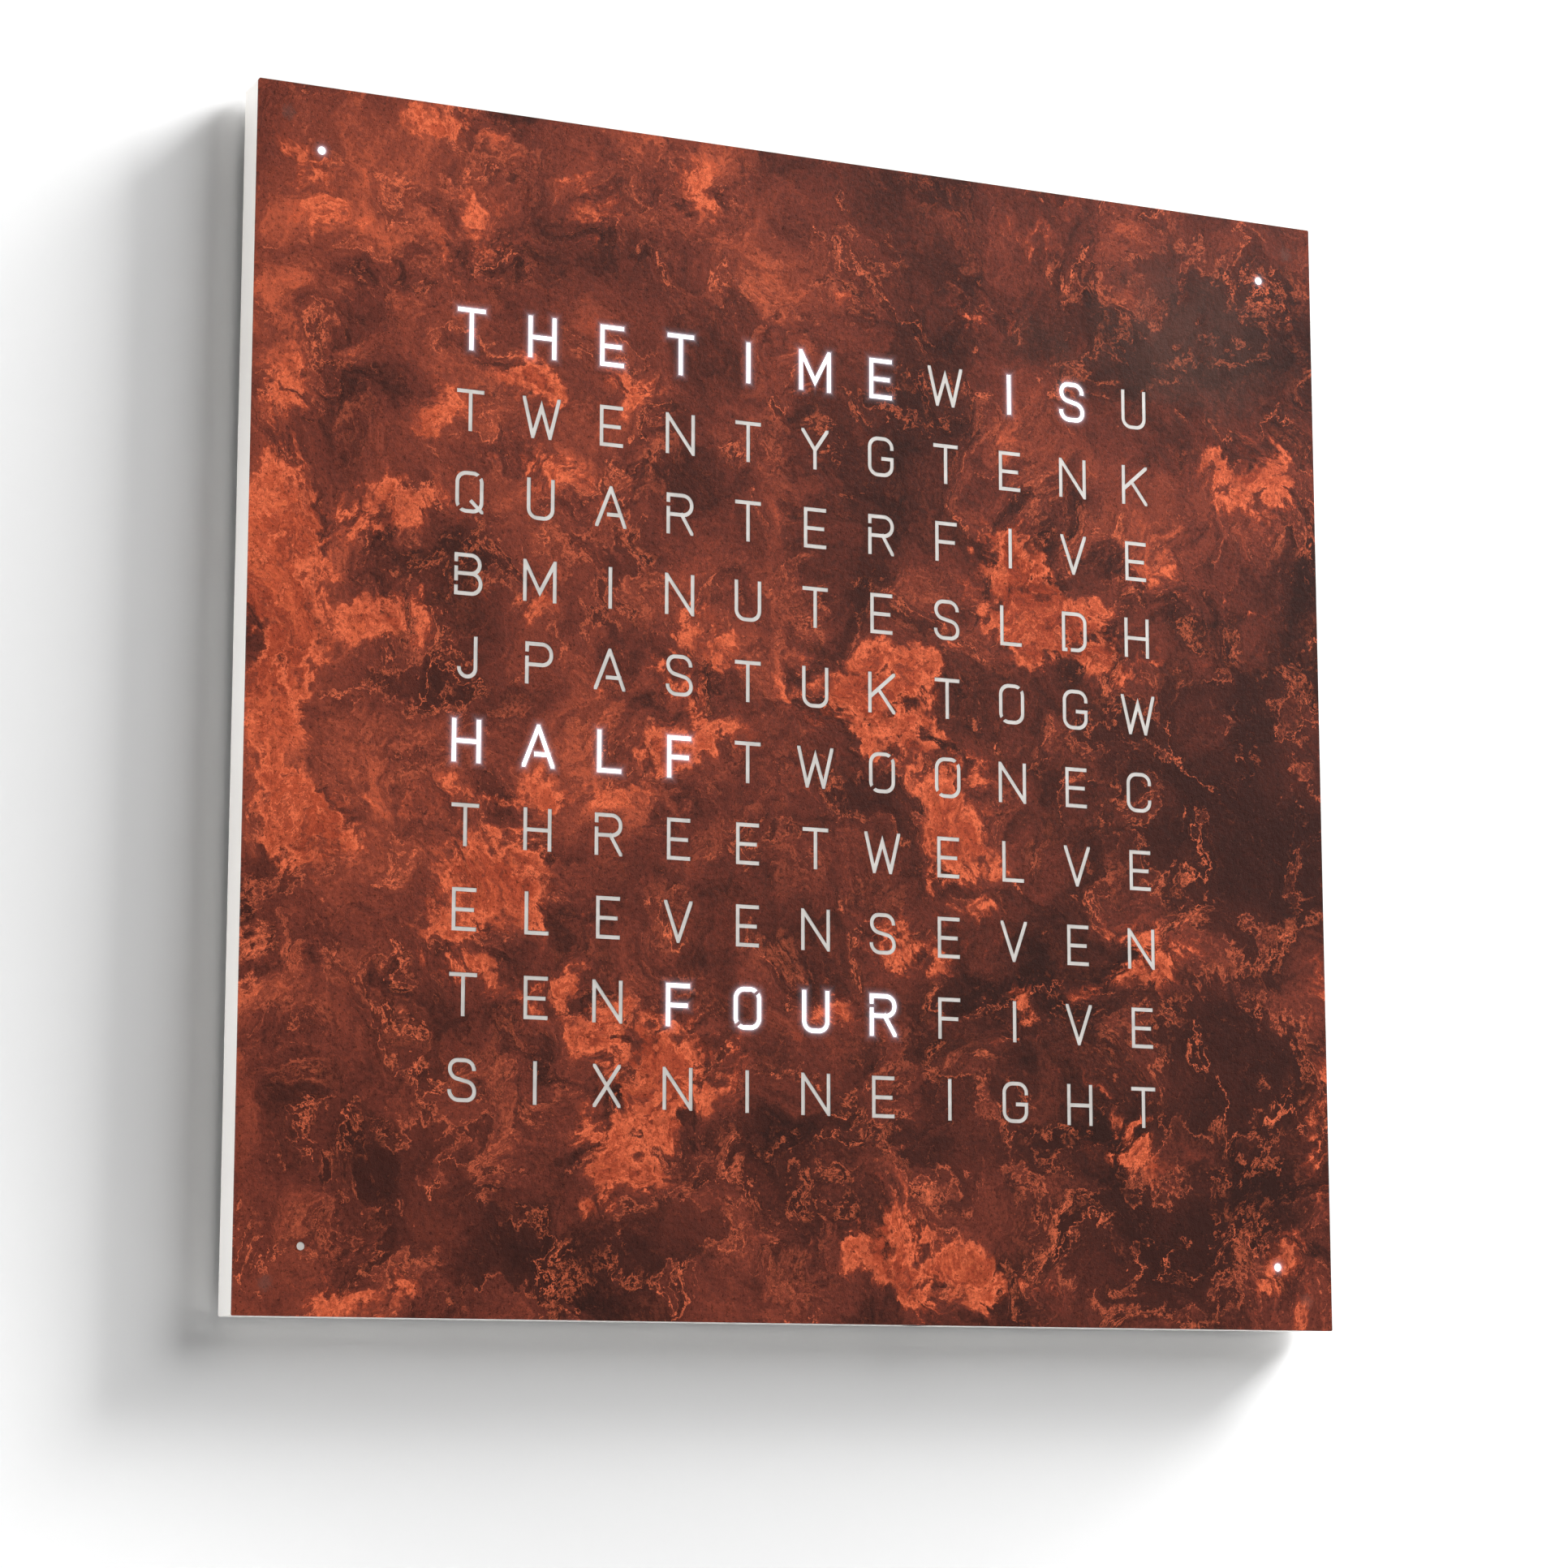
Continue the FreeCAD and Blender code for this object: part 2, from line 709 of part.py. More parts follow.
# Width in tenths of the letter's height, then strokes, then bridges
LETTERS = {
    "A": (8, [[(-1, -1), (0, 1), (1, -1)], [(-0.15, -0.42), (0.71, -0.42)]], []),
    "B": (
        7,
        [
            [(-1, -1), (-1, 1)],
            [ROUND, (-1, 1), (0.92, 1), (0.92, 0.04), (-1, 0.04)],
            [ROUND, (-1, 0.04), (1, 0.04), (1, -1), (-1, -1)],
        ],
        [[(-1.3, 0.52), (-0.8, 0.52)], [(-1.3, -0.48), (-0.8, -0.48)]],
    ),
    "C": (7, [[ROUND, (1, 0.5), (1, 1), (-1, 1), (-1, -1), (1, -1), (1, -0.5)]], []),
    "D": (
        7,
        [[(-1, -1), (-1, 1)], [ROUND, (-1, 1), (1, 1), (1, -1), (-1, -1)]],
        [[(-0.5, -1.2), (-0.5, -0.85)]],
    ),
    "E": (6, [[(1, 1), (-1, 1), (-1, -1), (1, -1)], [(-1, -0.02), (0.78, -0.02)]], []),
    "F": (6, [[(1, 1), (-1, 1), (-1, -1)], [(-1, -0.02), (0.78, -0.02)]], []),
    "G": (
        7,
        [[ROUND, (1, 0.5), (1, 1), (-1, 1), (-1, -1), (1, -1), (1, -0.1)], [(0.2, -0.1), (1, -0.1)]],
        [],
    ),
    "H": (7, [[(-1, -1), (-1, 1)], [(1, -1), (1, 1)], [(-1, -0.02), (1, -0.02)]], []),
    "I": (1, [[(0, -1), (0, 1)]], []),
    "J": (5, [[ROUND, (1, 1), (1, -1), (-1, -1), (-1, -0.6)]], []),
    "K": (7.3, [[(-1, -1), (-1, 1)], [(1, 1), (-1, -0.25)], [(-0.28, 0.2), (1, -1)]], []),
    "L": (6, [[(-1, 1), (-1, -1), (1, -1)]], []),
    "M": (8.4, [[(-1, -1), (-1, 1), (0, -0.6), (1, 1), (1, -1)]], []),
    "N": (7.6, [[(-1, -1), (-1, 1), (1, -1), (1, 1)]], []),
    "O": (
        7,
        [
            [ROUND, (-1, 0), (-1, 1), (1, 1), (1, 0)],
            [ROUND, (-1, 0), (-1, -1), (1, -1), (1, 0)],
        ],
        [[(0.3, 0.55), (1.2, 1.05)], [(-0.3, -0.55), (-1.2, -1.05)]],
    ),
    "P": (
        7,
        [[(-1, -1), (-1, 1)], [ROUND, (-1, 1), (1, 1), (1, -0.08), (-1, -0.08)]],
        [[(-1.3, 0.46), (-0.8, 0.46)]],
    ),
    "Q": (
        7,
        [
            [ROUND, (-1, 0), (-1, 1), (1, 1), (1, 0)],
            [ROUND, (-1, 0), (-1, -1), (1, -1), (1, 0)],
            [(0.2, -0.5), (1, -1)],
        ],
        [[(0.3, 0.55), (1.2, 1.05)], [(-0.3, -0.55), (-1.2, -1.05)]],
    ),
    "R": (
        7,
        [
            [(-1, -1), (-1, 1)],
            [ROUND, (-1, 1), (1, 1), (1, -0.04), (-1, -0.04)],
            [(0.15, -0.04), (1, -1)],
        ],
        [[(-1.3, 0.48), (-0.8, 0.48)]],
    ),
    "S": (
        7,
        [
            [
                ROUND,
                (0.96, 0.58),
                (0.96, 1),
                (-0.96, 1),
                (-0.96, 0.16),
                (1, -0.16),
                (1, -1),
                (-1, -1),
                (-1, -0.58),
            ]
        ],
        [],
    ),
    "T": (6.8, [[(-1, 1), (1, 1)], [(0, 1), (0, -1)]], []),
    "U": (7, [[ROUND, (-1, 1), (-1, -1), (1, -1), (1, 1)]], []),
    "V": (7.3, [[(-1, 1), (0, -1), (1, 1)]], []),
    "W": (9.6, [[(-1, 1), (-0.5, -1), (0, 0.6), (0.5, -1), (1, 1)]], []),
    "X": (7, [[(-1, 1), (1, -1)], [(-1, -1), (1, 1)]], []),
    "Y": (7.3, [[(-1, 1), (0, -0.05), (1, 1)], [(0, -0.05), (0, -1)]], []),
}


def left_of(direction):
    """The direction a quarter turn to the left, in the plane of X and Z."""
    return Vector(-direction.z, 0, direction.x)


def side_course(points, radius, offset):
    """One side of a stroke: points, and arcs as three points, at an offset to the left."""
    directions = [(b - a).normalize() for a, b in zip(points, points[1:])]
    course = [points[0] + left_of(directions[0]) * offset]
    for index in range(1, len(points) - 1):
        here, before, after = points[index], directions[index - 1], directions[index]
        turn = math.atan2(before.x * after.z - before.z * after.x, before.dot(after))
        bend = min_bend(points, index, radius, abs(turn))
        if bend <= abs(offset):
            mitre = (left_of(before) + left_of(after)) * (offset / (1 + before.dot(after)))
            course.append(here + mitre)
            continue
        inwards = math.copysign(1, turn)
        reach = bend * math.tan(abs(turn) / 2)
        centre = here - before * reach + left_of(before) * (bend * inwards)
        out = here - centre
        spread = bend - offset * inwards
        course.append(
            (
                here - before * reach + left_of(before) * offset,
                centre + out * (spread / out.Length),
                here + after * reach + left_of(after) * offset,
            )
        )
    course.append(points[-1] + left_of(directions[-1]) * offset)
    return course


def min_bend(points, index, radius, turn):
    """The bend radius at a corner: the wanted one, or what its two runs leave room for."""
    if not radius:
        return 0.0
    room = radius
    for step, end in ((-1, 0), (1, len(points) - 1)):
        run = (points[index + step] - points[index]).Length
        share = 1.0 if index + step == end else 0.5
        room = min(room, run * share / math.tan(turn / 2))
    return room


def end_reach(points, shares, shrink):
    """How far a stroke goes past its last point: half its width, or, where it slants, through the edge."""
    stroke = size("stroke_width")
    run = points[-1] - points[-2]
    slants = min(abs(run.x), abs(run.z)) > NOUGHT
    if slants and abs(shares[-1][1]) == 1:
        return stroke
    return stroke / 2 - shrink


def stroke_face(points, radius, width, reaches):
    """The flat outline of one stroke: both sides and square ends."""
    first = (points[0] - points[1]).normalize() * reaches[0]
    last = (points[-1] - points[-2]).normalize() * reaches[1]
    longer = [points[0] + first] + points[1:-1] + [points[-1] + last]
    left = side_course(longer, radius, width / 2)
    right = side_course(longer, radius, -width / 2)
    right = [step[::-1] if isinstance(step, tuple) else step for step in reversed(right)]
    edges = []
    at = None
    for step in left + right + left[:1]:
        to = step[0] if isinstance(step, tuple) else step
        if at is not None and (to - at).Length > NOUGHT:
            edges.append(Part.LineSegment(at, to).toShape())
        at = to
        if isinstance(step, tuple):
            edges.append(Part.Arc(*step).toShape())
            at = step[2]
    return Part.Face(Part.Wire(edges))


def letter_faces(letter, shrink):
    """The flat faces of one letter about its cell's centre, drawn in by shrink all round."""
    tenths, strokes, bridges = LETTERS[letter]
    height = size("letter_height")
    stroke = size("stroke_width")
    width = max(tenths * height / 10, stroke)
    half_x, half_z = (width - stroke) / 2, (height - stroke) / 2
    inked = []
    for course in strokes:
        rounded = course[0] == ROUND
        shares = course[1:] if rounded else course
        points = [Vector(x * half_x, 0, z * half_z) for x, z in shares]
        reaches = (
            end_reach(points[::-1], shares[::-1], shrink),
            end_reach(points, shares, shrink),
        )
        radius = size("bowl_radius") if rounded else 0.0
        inked.append(stroke_face(points, radius, stroke - 2 * shrink, reaches))
    face = inked[0].fuse(inked[1:]).removeSplitter() if len(inked) > 1 else inked[0]
    for course in bridges:
        points = [Vector(x * half_x, 0, z * half_z) for x, z in course]
        face = face.cut(stroke_face(points, 0.0, size("bridge_width") + 2 * shrink, (0, 0)))
    right, top = width / 2 - shrink, height / 2 - shrink
    corners = [Vector(sx * right, 0, sz * top) for sx, sz in CORNERS]
    band = Part.Face(Part.makePolygon(corners + corners[:1]))
    return face.common(band).Faces


def is_lit(row, column):
    """Whether a cell is one of those that spell the time shown."""
    return any(row == at and first <= column <= last for at, first, last in LIT_SPANS)


def letter_solids(shrink, depth, wanted):
    """Upright prisms of the wanted letters and corner dots, between two depths."""
    away = Vector(0, depth[0] - depth[1], 0)
    prisms = {}
    solids = []
    for row, column, x, z in cell_places():
        if not wanted(is_lit(row, column)):
            continue
        letter = WORDS[row][column]
        if letter not in prisms:
            prisms[letter] = [face.extrude(away) for face in letter_faces(letter, shrink)]
        for prism in prisms[letter]:
            copy = prism.copy()
            copy.Placement = on_face(x, z, depth[0])
            solids.append(copy)
    radius = size("dot_radius") - shrink
    for sx, sz in CORNERS:
        if wanted((sx, sz) in LIT_CORNERS):
            place = on_face(sx * size("dot_place"), sz * size("dot_place"), depth[0])
            solids.append(Part.makeCylinder(radius, depth[1] - depth[0], place.Base, Vector(0, -1, 0)))
    return Part.makeCompound(solids)


# Front cover: steel plate with the letters cut through, its studs and its resin inlays


def make_cover():
    plate = square("cover_plate", "half", ("case_front", "cover_front"))
    doc.recompute()
    rounded = doc.addObject("Part::Fillet", "cover_rounded")
    rounded.Base = plate
    radius = size("corner_round")
    rounded.Edges = [
        (index, radius, radius)
        for index, edge in enumerate(plate.Shape.Edges, start=1)
        if edge.BoundBox.YLength > radius
    ]
    back, front = size("case_front"), size("cover_front")
    letters = feature("letter_cuts", letter_solids(0.0, (back, front), lambda lit: True))
    node(cut("front_cover", rounded, letters))

    clearance = size("inlay_clearance")
    filled = (back, front - size("inlay_sink"))
    node(feature("letter_inlays", letter_solids(clearance, filled, lambda lit: not lit)))
    node(feature("lit_letter_inlays", letter_solids(clearance, filled, lambda lit: lit)))

    foot = rod("stud_foot", "stud_foot_radius", "0", ("-stud_foot_thickness", "0"), "0")
    pin = rod("stud_pin", "stud_pin_radius", "0", ("-stud_length", "0"), "0")
    stud = fuse("stud", [foot, pin])
    node(copies("cover_studs", stud, corner_places(size("stud_place"), back)))
    node(square("diffuser_sheet", "diffuser_half", ("diffuser_back", "case_front")))


def make_magnets():
    body = rod("magnet_disc", "magnet_radius", "0", ("0", "magnet_thickness"), "0")
    bore = rod(
        "magnet_bore", "stud_pin_radius + stud_clearance", "0", ("0", "magnet_thickness"), "0"
    )
    magnet = cut("magnet", body, bore)
    back = size("case_front") - size("magnet_sink") - size("magnet_thickness")
    node(copies("ring_magnets", magnet, corner_places(size("stud_place"), back)))


# Light grid and matrix board: one well and one light source behind each letter


def make_grid():
    plate = square("grid_plate", "grid_half", ("board_front", "seat_floor"))
    back, front = size("board_front"), size("seat_floor")
    wide = size("column_pitch") - size("well_wall")
    high = size("row_pitch") - size("well_wall")
    wells = []
    for row, column, x, z in cell_places():
        corner = Vector(x - wide / 2, -front, size("centre_z") + z - high / 2)
        wells.append(Part.makeBox(wide, front - back, high, corner))
    hole = rod(
        "grid_hole", "screw_radius + screw_clearance", "0", ("board_back", "seat_floor"), "0"
    )
    sink = rod(
        "grid_sink",
        "screw_head_radius + screw_head_clearance",
        "0",
        ("grid_head_seat", "seat_floor"),
        "0",
    )
    spots = [on_face(x, z) for x, z in grid_screw_spots()]
    holes = copies("grid_holes", fuse("grid_drill", [hole, sink]), spots)
    corner = block(
        "grid_corner_block",
        ("0", "grid_notch_end"),
        ("board_front", "seat_floor"),
        ("-2 * lead_socket_end / sqrt(2)", "2 * lead_socket_end / sqrt(2)"),
    )
    corners = copies("grid_corners", corner, corner_frames())
    notch = block(
        "grid_flex_notch",
        (
            "flex_place - flex_width / 2 - flex_socket_side - bay_clearance",
            "flex_place + flex_width / 2 + flex_socket_side + bay_clearance",
        ),
        ("board_front", "seat_floor"),
        (
            "centre_z - bay_half",
            "centre_z - grid_half + flex_socket_inset + flex_socket_length + screw_clearance",
        ),
    )
    tools = [feature("grid_wells", Part.makeCompound(wells)), holes, corners, notch]
    node(cut("light_grid", plate, fuse("grid_tools", tools)))
    board = square("board_plate", "grid_half", ("board_back", "board_front"))
    board_hole = rod(
        "board_hole", "screw_radius + screw_clearance", "0", ("board_back", "board_front"), "0"
    )
    node(cut("matrix_board", board, copies("board_holes", board_hole, spots)))
    fixing = screw("grid_screw", "grid_screw_length")
    seat = size("grid_head_seat")
    node(
        copies("grid_screws", fixing, [on_face(x, z, seat) for x, z in grid_screw_spots()])
    )


def make_leds():
    body = block(
        "led_block",
        ("-led_side / 2", "led_side / 2"),
        ("0", "led_height"),
        ("-led_side / 2", "led_side / 2"),
    )
    window = rod(
        "led_window",
        "led_window_radius",
        "0",
        ("led_height - led_window_depth", "led_height"),
        "0",
    )
    led = cut("led", body, window)
    front = size("board_front")
    cells = [on_face(x, z, front) for row, column, x, z in cell_places()]
    node(copies("matrix_leds", led, cells))
    node(copies("corner_leds", led, corner_places(size("dot_place"), front)))


# Corner lights: each has a board, a cup round its light source and a lead to the matrix board


def make_corner_lights():
    across = ("-cup_half", "cup_half")
    board = block("corner_board", across, ("board_back", "board_front"), across)
    node(copies("corner_boards", board, corner_frames()))
    cup = block("cup_block", across, ("board_front", "seat_floor"), across)
    bore = rod("cup_bore", "cup_bore_radius", "0", ("board_front", "seat_floor"), "0")
    slot = block(
        "cup_slot",
        ("cup_bore_radius + cup_clearance", "cup_half"),
        ("board_front", "board_front + lead_slot_height"),
        ("-lead_slot_width / 2", "lead_slot_width / 2"),
    )
    cup = cut("corner_cup", cup, fuse("cup_tools", [bore, slot]))
    node(copies("corner_light_cups", cup, corner_frames()))
    lead = doc.addObject("Part::Cylinder", "corner_lead")
    lead.Placement.Rotation = Rotation(Vector(0, 1, 0), 90)
    bind(
        lead,
        Radius="lead_radius",
        Height="lead_socket_start - cup_bore_radius - 2 * cup_clearance",
        Placement__Base__x="cup_bore_radius + 2 * cup_clearance",
        Placement__Base__y="-(board_front + lead_height)",
    )
    node(copies("corner_leads", lead, corner_frames()))
    socket = block(
        "lead_socket",
        ("lead_socket_start", "lead_socket_end"),
        ("board_front", "board_front + lead_socket_height"),
        ("-lead_socket_width / 2", "lead_socket_width / 2"),
    )
    node(copies("lead_sockets", socket, corner_frames()))


# Controller board with the parts that stand on it


def on_board(name, place, width, height, length, middle="controller_mid"):
    """A box-shaped part that stands on the controller board, centred on a place."""
    return block(
        name,
        (f"{place} - {width} / 2", f"{place} + {width} / 2"),
        ("board_front", f"board_front + {height}"),
        (f"{middle} - {length} / 2", f"{middle} + {length} / 2"),
    )


def make_controller():
    board = block(
        "controller_plate",
        ("-controller_half", "controller_half"),
        ("board_back", "board_front"),
        ("controller_bottom", "controller_top"),
    )
    hole = rod(
        "controller_hole",
        "screw_radius + screw_clearance",
        "0",
        ("board_back", "board_front"),
        "0",
    )
    spots = controller_screw_spots()
    holes = copies("controller_holes", hole, [on_face(x, z) for x, z in spots])
    node(cut("controller_board", board, holes))
    fixing = screw("controller_screw", "controller_screw_length")
    seat = size("board_front")
    node(copies("controller_screws", fixing, [on_face(x, z, seat) for x, z in spots]))
    node(
        on_board(
            "microcontroller",
            "processor_place",
            "processor_side",
            "processor_height",
            "processor_side",
        )
    )
    crystal = on_board(
        "crystal_can", "crystal_place", "crystal_width", "crystal_height", "crystal_length"
    )
    doc.recompute()
    rounded = doc.addObject("Part::Fillet", "clock_crystal")
    rounded.Base = crystal
    radius = size("crystal_end_radius")
    rounded.Edges = [
        (index, radius, radius)
        for index, edge in enumerate(crystal.Shape.Edges, start=1)
        if edge.BoundBox.YLength > size("crystal_height") / 2
    ]
    node(rounded)
    drivers = [
        on_board(
            f"led_driver_{index}",
            "driver_place",
            "driver_length",
            "driver_height",
            "driver_width",
            f"(controller_mid + ({index} - 1.5) * driver_pitch)",
        )
        for index in (1, 2)
    ]
    doc.recompute()
    both = Part.makeCompound([driver.Shape.copy() for driver in drivers])
    node(feature("led_drivers", both))
    node(
        on_board(
            "voltage_regulator",
            "regulator_place",
            "regulator_side",
            "regulator_height",
            "regulator_side",
        )
    )
    node(
        rod(
            "reservoir_capacitor",
            "capacitor_radius",
            "capacitor_place",
            ("board_front", "board_front + capacitor_height"),
            "controller_mid",
        )
    )
    holder = on_board(
        "holder_block", "cell_place", "holder_side", "holder_height", "holder_side"
    )
    nest = rod(
        "holder_nest",
        "cell_radius + cell_clearance",
        "cell_place",
        ("board_front + holder_floor", "board_front + holder_height"),
        "controller_mid",
    )
    node(cut("cell_holder", holder, nest))
    floor = "board_front + holder_floor"
    node(
        rod(
            "coin_cell",
            "cell_radius",
            "cell_place",
            (floor, f"{floor} + cell_thickness"),
            "controller_mid",
        )
    )


# Service row on the underside: three buttons, the light sensor and the power inlet


def make_buttons():
    for index, use in enumerate(("hour", "minute", "light")):
        place = button_place(index)
        length = "bottom_wall - button_sink"
        edge = "button_radius - button_chamfer"
        profile = [
            ("0", "0"),
            (edge, "0"),
            ("button_radius", "button_chamfer"),
            ("button_radius", length),
            ("button_flange_radius", length),
            ("button_flange_radius", f"{length} + button_flange_thickness"),
            ("0", f"{length} + button_flange_thickness"),
        ]
        button = turned(f"{use}_button", profile)
        bind(
            button,
            Placement__Base__x=place,
            Placement__Base__y="-service_axis",
            Placement__Base__z="underside + button_sink",
        )
        node(button)
        node(
            post(
                f"{use}_plunger",
                "plunger_radius",
                place,
                "service_axis",
                ("flange_top", "plunger_top"),
            )
        )


def make_switches():
    made = []
    for index in range(3):
        place = button_place(index)
        body = block(
            f"switch_block_{index + 1}",
            (f"{place} - switch_side / 2", f"{place} + switch_side / 2"),
            ("board_front", "board_front + 2 * service_axis_height"),
            ("switch_bottom", "switch_bottom + switch_length"),
        )
        bore = post(
            f"switch_bore_{index + 1}",
            "plunger_radius + plunger_clearance",
            place,
            "service_axis",
            ("switch_bottom", "plunger_top + button_travel + plunger_clearance"),
        )
        made.append(cut(f"switch_{index + 1}", body, bore))
    doc.recompute()
    node(feature("tact_switches", Part.makeCompound([switch.Shape.copy() for switch in made])))


def make_sensor():
    profile = [
        ("0", "0"),
        ("pipe_radius", "0"),
        ("pipe_radius", "bottom_wall"),
        ("pipe_flange_radius", "bottom_wall"),
        ("pipe_flange_radius", "bottom_wall + pipe_flange_thickness"),
        ("0", "bottom_wall + pipe_flange_thickness"),
    ]
    pipe = turned("light_pipe", profile)
    bind(
        pipe,
        Placement__Base__x="sensor_place",
        Placement__Base__y="-service_axis",
        Placement__Base__z="underside",
    )
    node(pipe)
    node(
        block(
            "light_sensor",
            ("sensor_place - sensor_width / 2", "sensor_place + sensor_width / 2"),
            ("board_front", "service_axis + sensor_width / 2"),
            ("switch_bottom", "switch_bottom + sensor_length"),
        )
    )


def make_inlet():
    body = block(
        "inlet_block",
        ("inlet_place - inlet_width / 2", "inlet_place + inlet_width / 2"),
        ("board_front", "board_front + 2 * service_axis_height"),
        ("underside", "underside + inlet_length"),
    )
    bottom = "underside + inlet_bore_depth"
    bore = post(
        "inlet_bore", "inlet_bore_radius", "inlet_place", "service_axis", ("underside", bottom)
    )
    root = post(
        "inlet_pin_hole",
        "inlet_pin_radius",
        "inlet_place",
        "service_axis",
        (bottom, f"{bottom} + inlet_pin_root"),
    )
    node(cut("dc_inlet", body, fuse("inlet_bores", [bore, root])))
    node(
        post(
            "inlet_pin",
            "inlet_pin_radius",
            "inlet_place",
            "service_axis",
            ("underside + inlet_pin_sink", f"{bottom} + inlet_pin_root"),
        )
    )


# Flat cable: from a socket on the matrix board, in a low hump, to one on the controller


def make_flex():
    sides = (
        "flex_place - flex_width / 2 - flex_socket_side",
        "flex_place + flex_width / 2 + flex_socket_side",
    )
    depth = ("board_front", "board_front + flex_socket_height")
    upper_edge = "centre_z - grid_half + flex_socket_inset"
    lower_edge = "controller_top - flex_socket_inset"
    upper = block("flex_socket_1", sides, depth, (upper_edge, f"{upper_edge} + flex_socket_length"))
    lower = block("flex_socket_2", sides, depth, (f"{lower_edge} - flex_socket_length", lower_edge))
    doc.recompute()
    node(feature("flex_sockets", Part.makeCompound([upper.Shape.copy(), lower.Shape.copy()])))

    top = upper.Shape.BoundBox.ZMin
    bottom = lower.Shape.BoundBox.ZMax
    start = size("flex_place") - size("flex_width") / 2
    low = size("board_front") + size("flex_height")
    arcs = []
    for thick in (0.0, size("flex_thickness")):
        ends = [Vector(start, -(low + thick), z) for z in (bottom, top)]
        crest = Vector(start, -(low + thick + size("flex_hump")), (bottom + top) / 2)
        arcs.append((ends[0], crest, ends[1]))
    (low_start, low_crest, low_end), (high_start, high_crest, high_end) = arcs
    edges = [
        Part.Arc(low_start, low_crest, low_end).toShape(),
        Part.LineSegment(low_end, high_end).toShape(),
        Part.Arc(high_end, high_crest, high_start).toShape(),
        Part.LineSegment(high_start, low_start).toShape(),
    ]
    strip = Part.Face(Part.Wire(edges)).extrude(Vector(size("flex_width"), 0, 0))
    node(feature("flex_cable", strip))


# Rubber spacers on the case's back, which keep it off the wall


def make_spacers():
    spacer = rod("spacer", "spacer_radius", "0", ("0", "wall_gap"), "0")
    node(copies("wall_spacers", spacer, corner_places(size("spacer_place"))))


def build():
    make_wall_bracket()
    make_hanger()
    make_case()
    make_cover()
    make_magnets()
    make_grid()
    make_leds()
    make_corner_lights()
    make_controller()
    make_buttons()
    make_switches()
    make_sensor()
    make_inlet()
    make_flex()
    make_spacers()
    doc.recompute()


def check():
    """Stop if any object failed or any sub-part isn't whole."""
    for thing in doc.Objects:
        if {"Invalid", "Error"} & set(thing.State):
            raise RuntimeError(f"{thing.Name}: {thing.State}")
    for thing in nodes:
        shape = thing.Shape
        if shape.isNull() or not shape.isValid() or not shape.Solids:
            raise RuntimeError(f"{thing.Label}: not a whole solid")


fill_sheets()
build()
check()
os.makedirs("parts", exist_ok=True)
for sub_part in nodes:
    sub_part.Shape.exportStep(f"parts/{sub_part.Label}.step")
    print(sub_part.Label, len(sub_part.Shape.Solids), round(sub_part.Shape.Volume, 2))
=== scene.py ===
import math
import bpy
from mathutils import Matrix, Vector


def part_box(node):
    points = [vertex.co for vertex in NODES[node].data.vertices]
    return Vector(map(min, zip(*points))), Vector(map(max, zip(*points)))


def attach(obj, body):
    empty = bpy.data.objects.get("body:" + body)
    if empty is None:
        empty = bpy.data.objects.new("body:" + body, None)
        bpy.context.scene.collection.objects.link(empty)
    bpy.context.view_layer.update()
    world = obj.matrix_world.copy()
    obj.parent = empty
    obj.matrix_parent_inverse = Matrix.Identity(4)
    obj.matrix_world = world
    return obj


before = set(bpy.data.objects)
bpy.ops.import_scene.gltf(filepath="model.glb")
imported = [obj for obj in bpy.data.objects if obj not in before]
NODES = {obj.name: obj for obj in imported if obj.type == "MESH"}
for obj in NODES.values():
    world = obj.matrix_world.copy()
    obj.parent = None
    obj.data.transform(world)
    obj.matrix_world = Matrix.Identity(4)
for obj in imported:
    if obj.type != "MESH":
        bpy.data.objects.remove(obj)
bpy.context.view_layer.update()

from types import SimpleNamespace

import bmesh
import bpy
from mathutils import Vector

# Places in metres, from the frame: X to the right, Y into the wall, Z up
cover_low, cover_high = (Vector(corner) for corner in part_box("front_cover"))
FACE_CENTRE = Vector(
    (
        (cover_low.x + cover_high.x) / 2,
        cover_low.y,
        (cover_low.z + cover_high.z) / 2,
    )
)
# How far the studs' marks on the steel lie inside the studs' outer edge
STUD_MARK_INSET = 0.005
stud_low, stud_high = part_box("cover_studs")
STUD_MARK_PLACE = (stud_high[0] - stud_low[0]) / 2 - STUD_MARK_INSET


def linear(red, green, blue):
    """A colour given as 8-bit display values, as the linear colour a shader takes."""
    channels = []
    for value in (red, green, blue):
        share = value / 255
        channels.append(share / 12.92 if share <= 0.04045 else ((share + 0.055) / 1.055) ** 2.4)
    return (*channels, 1.0)


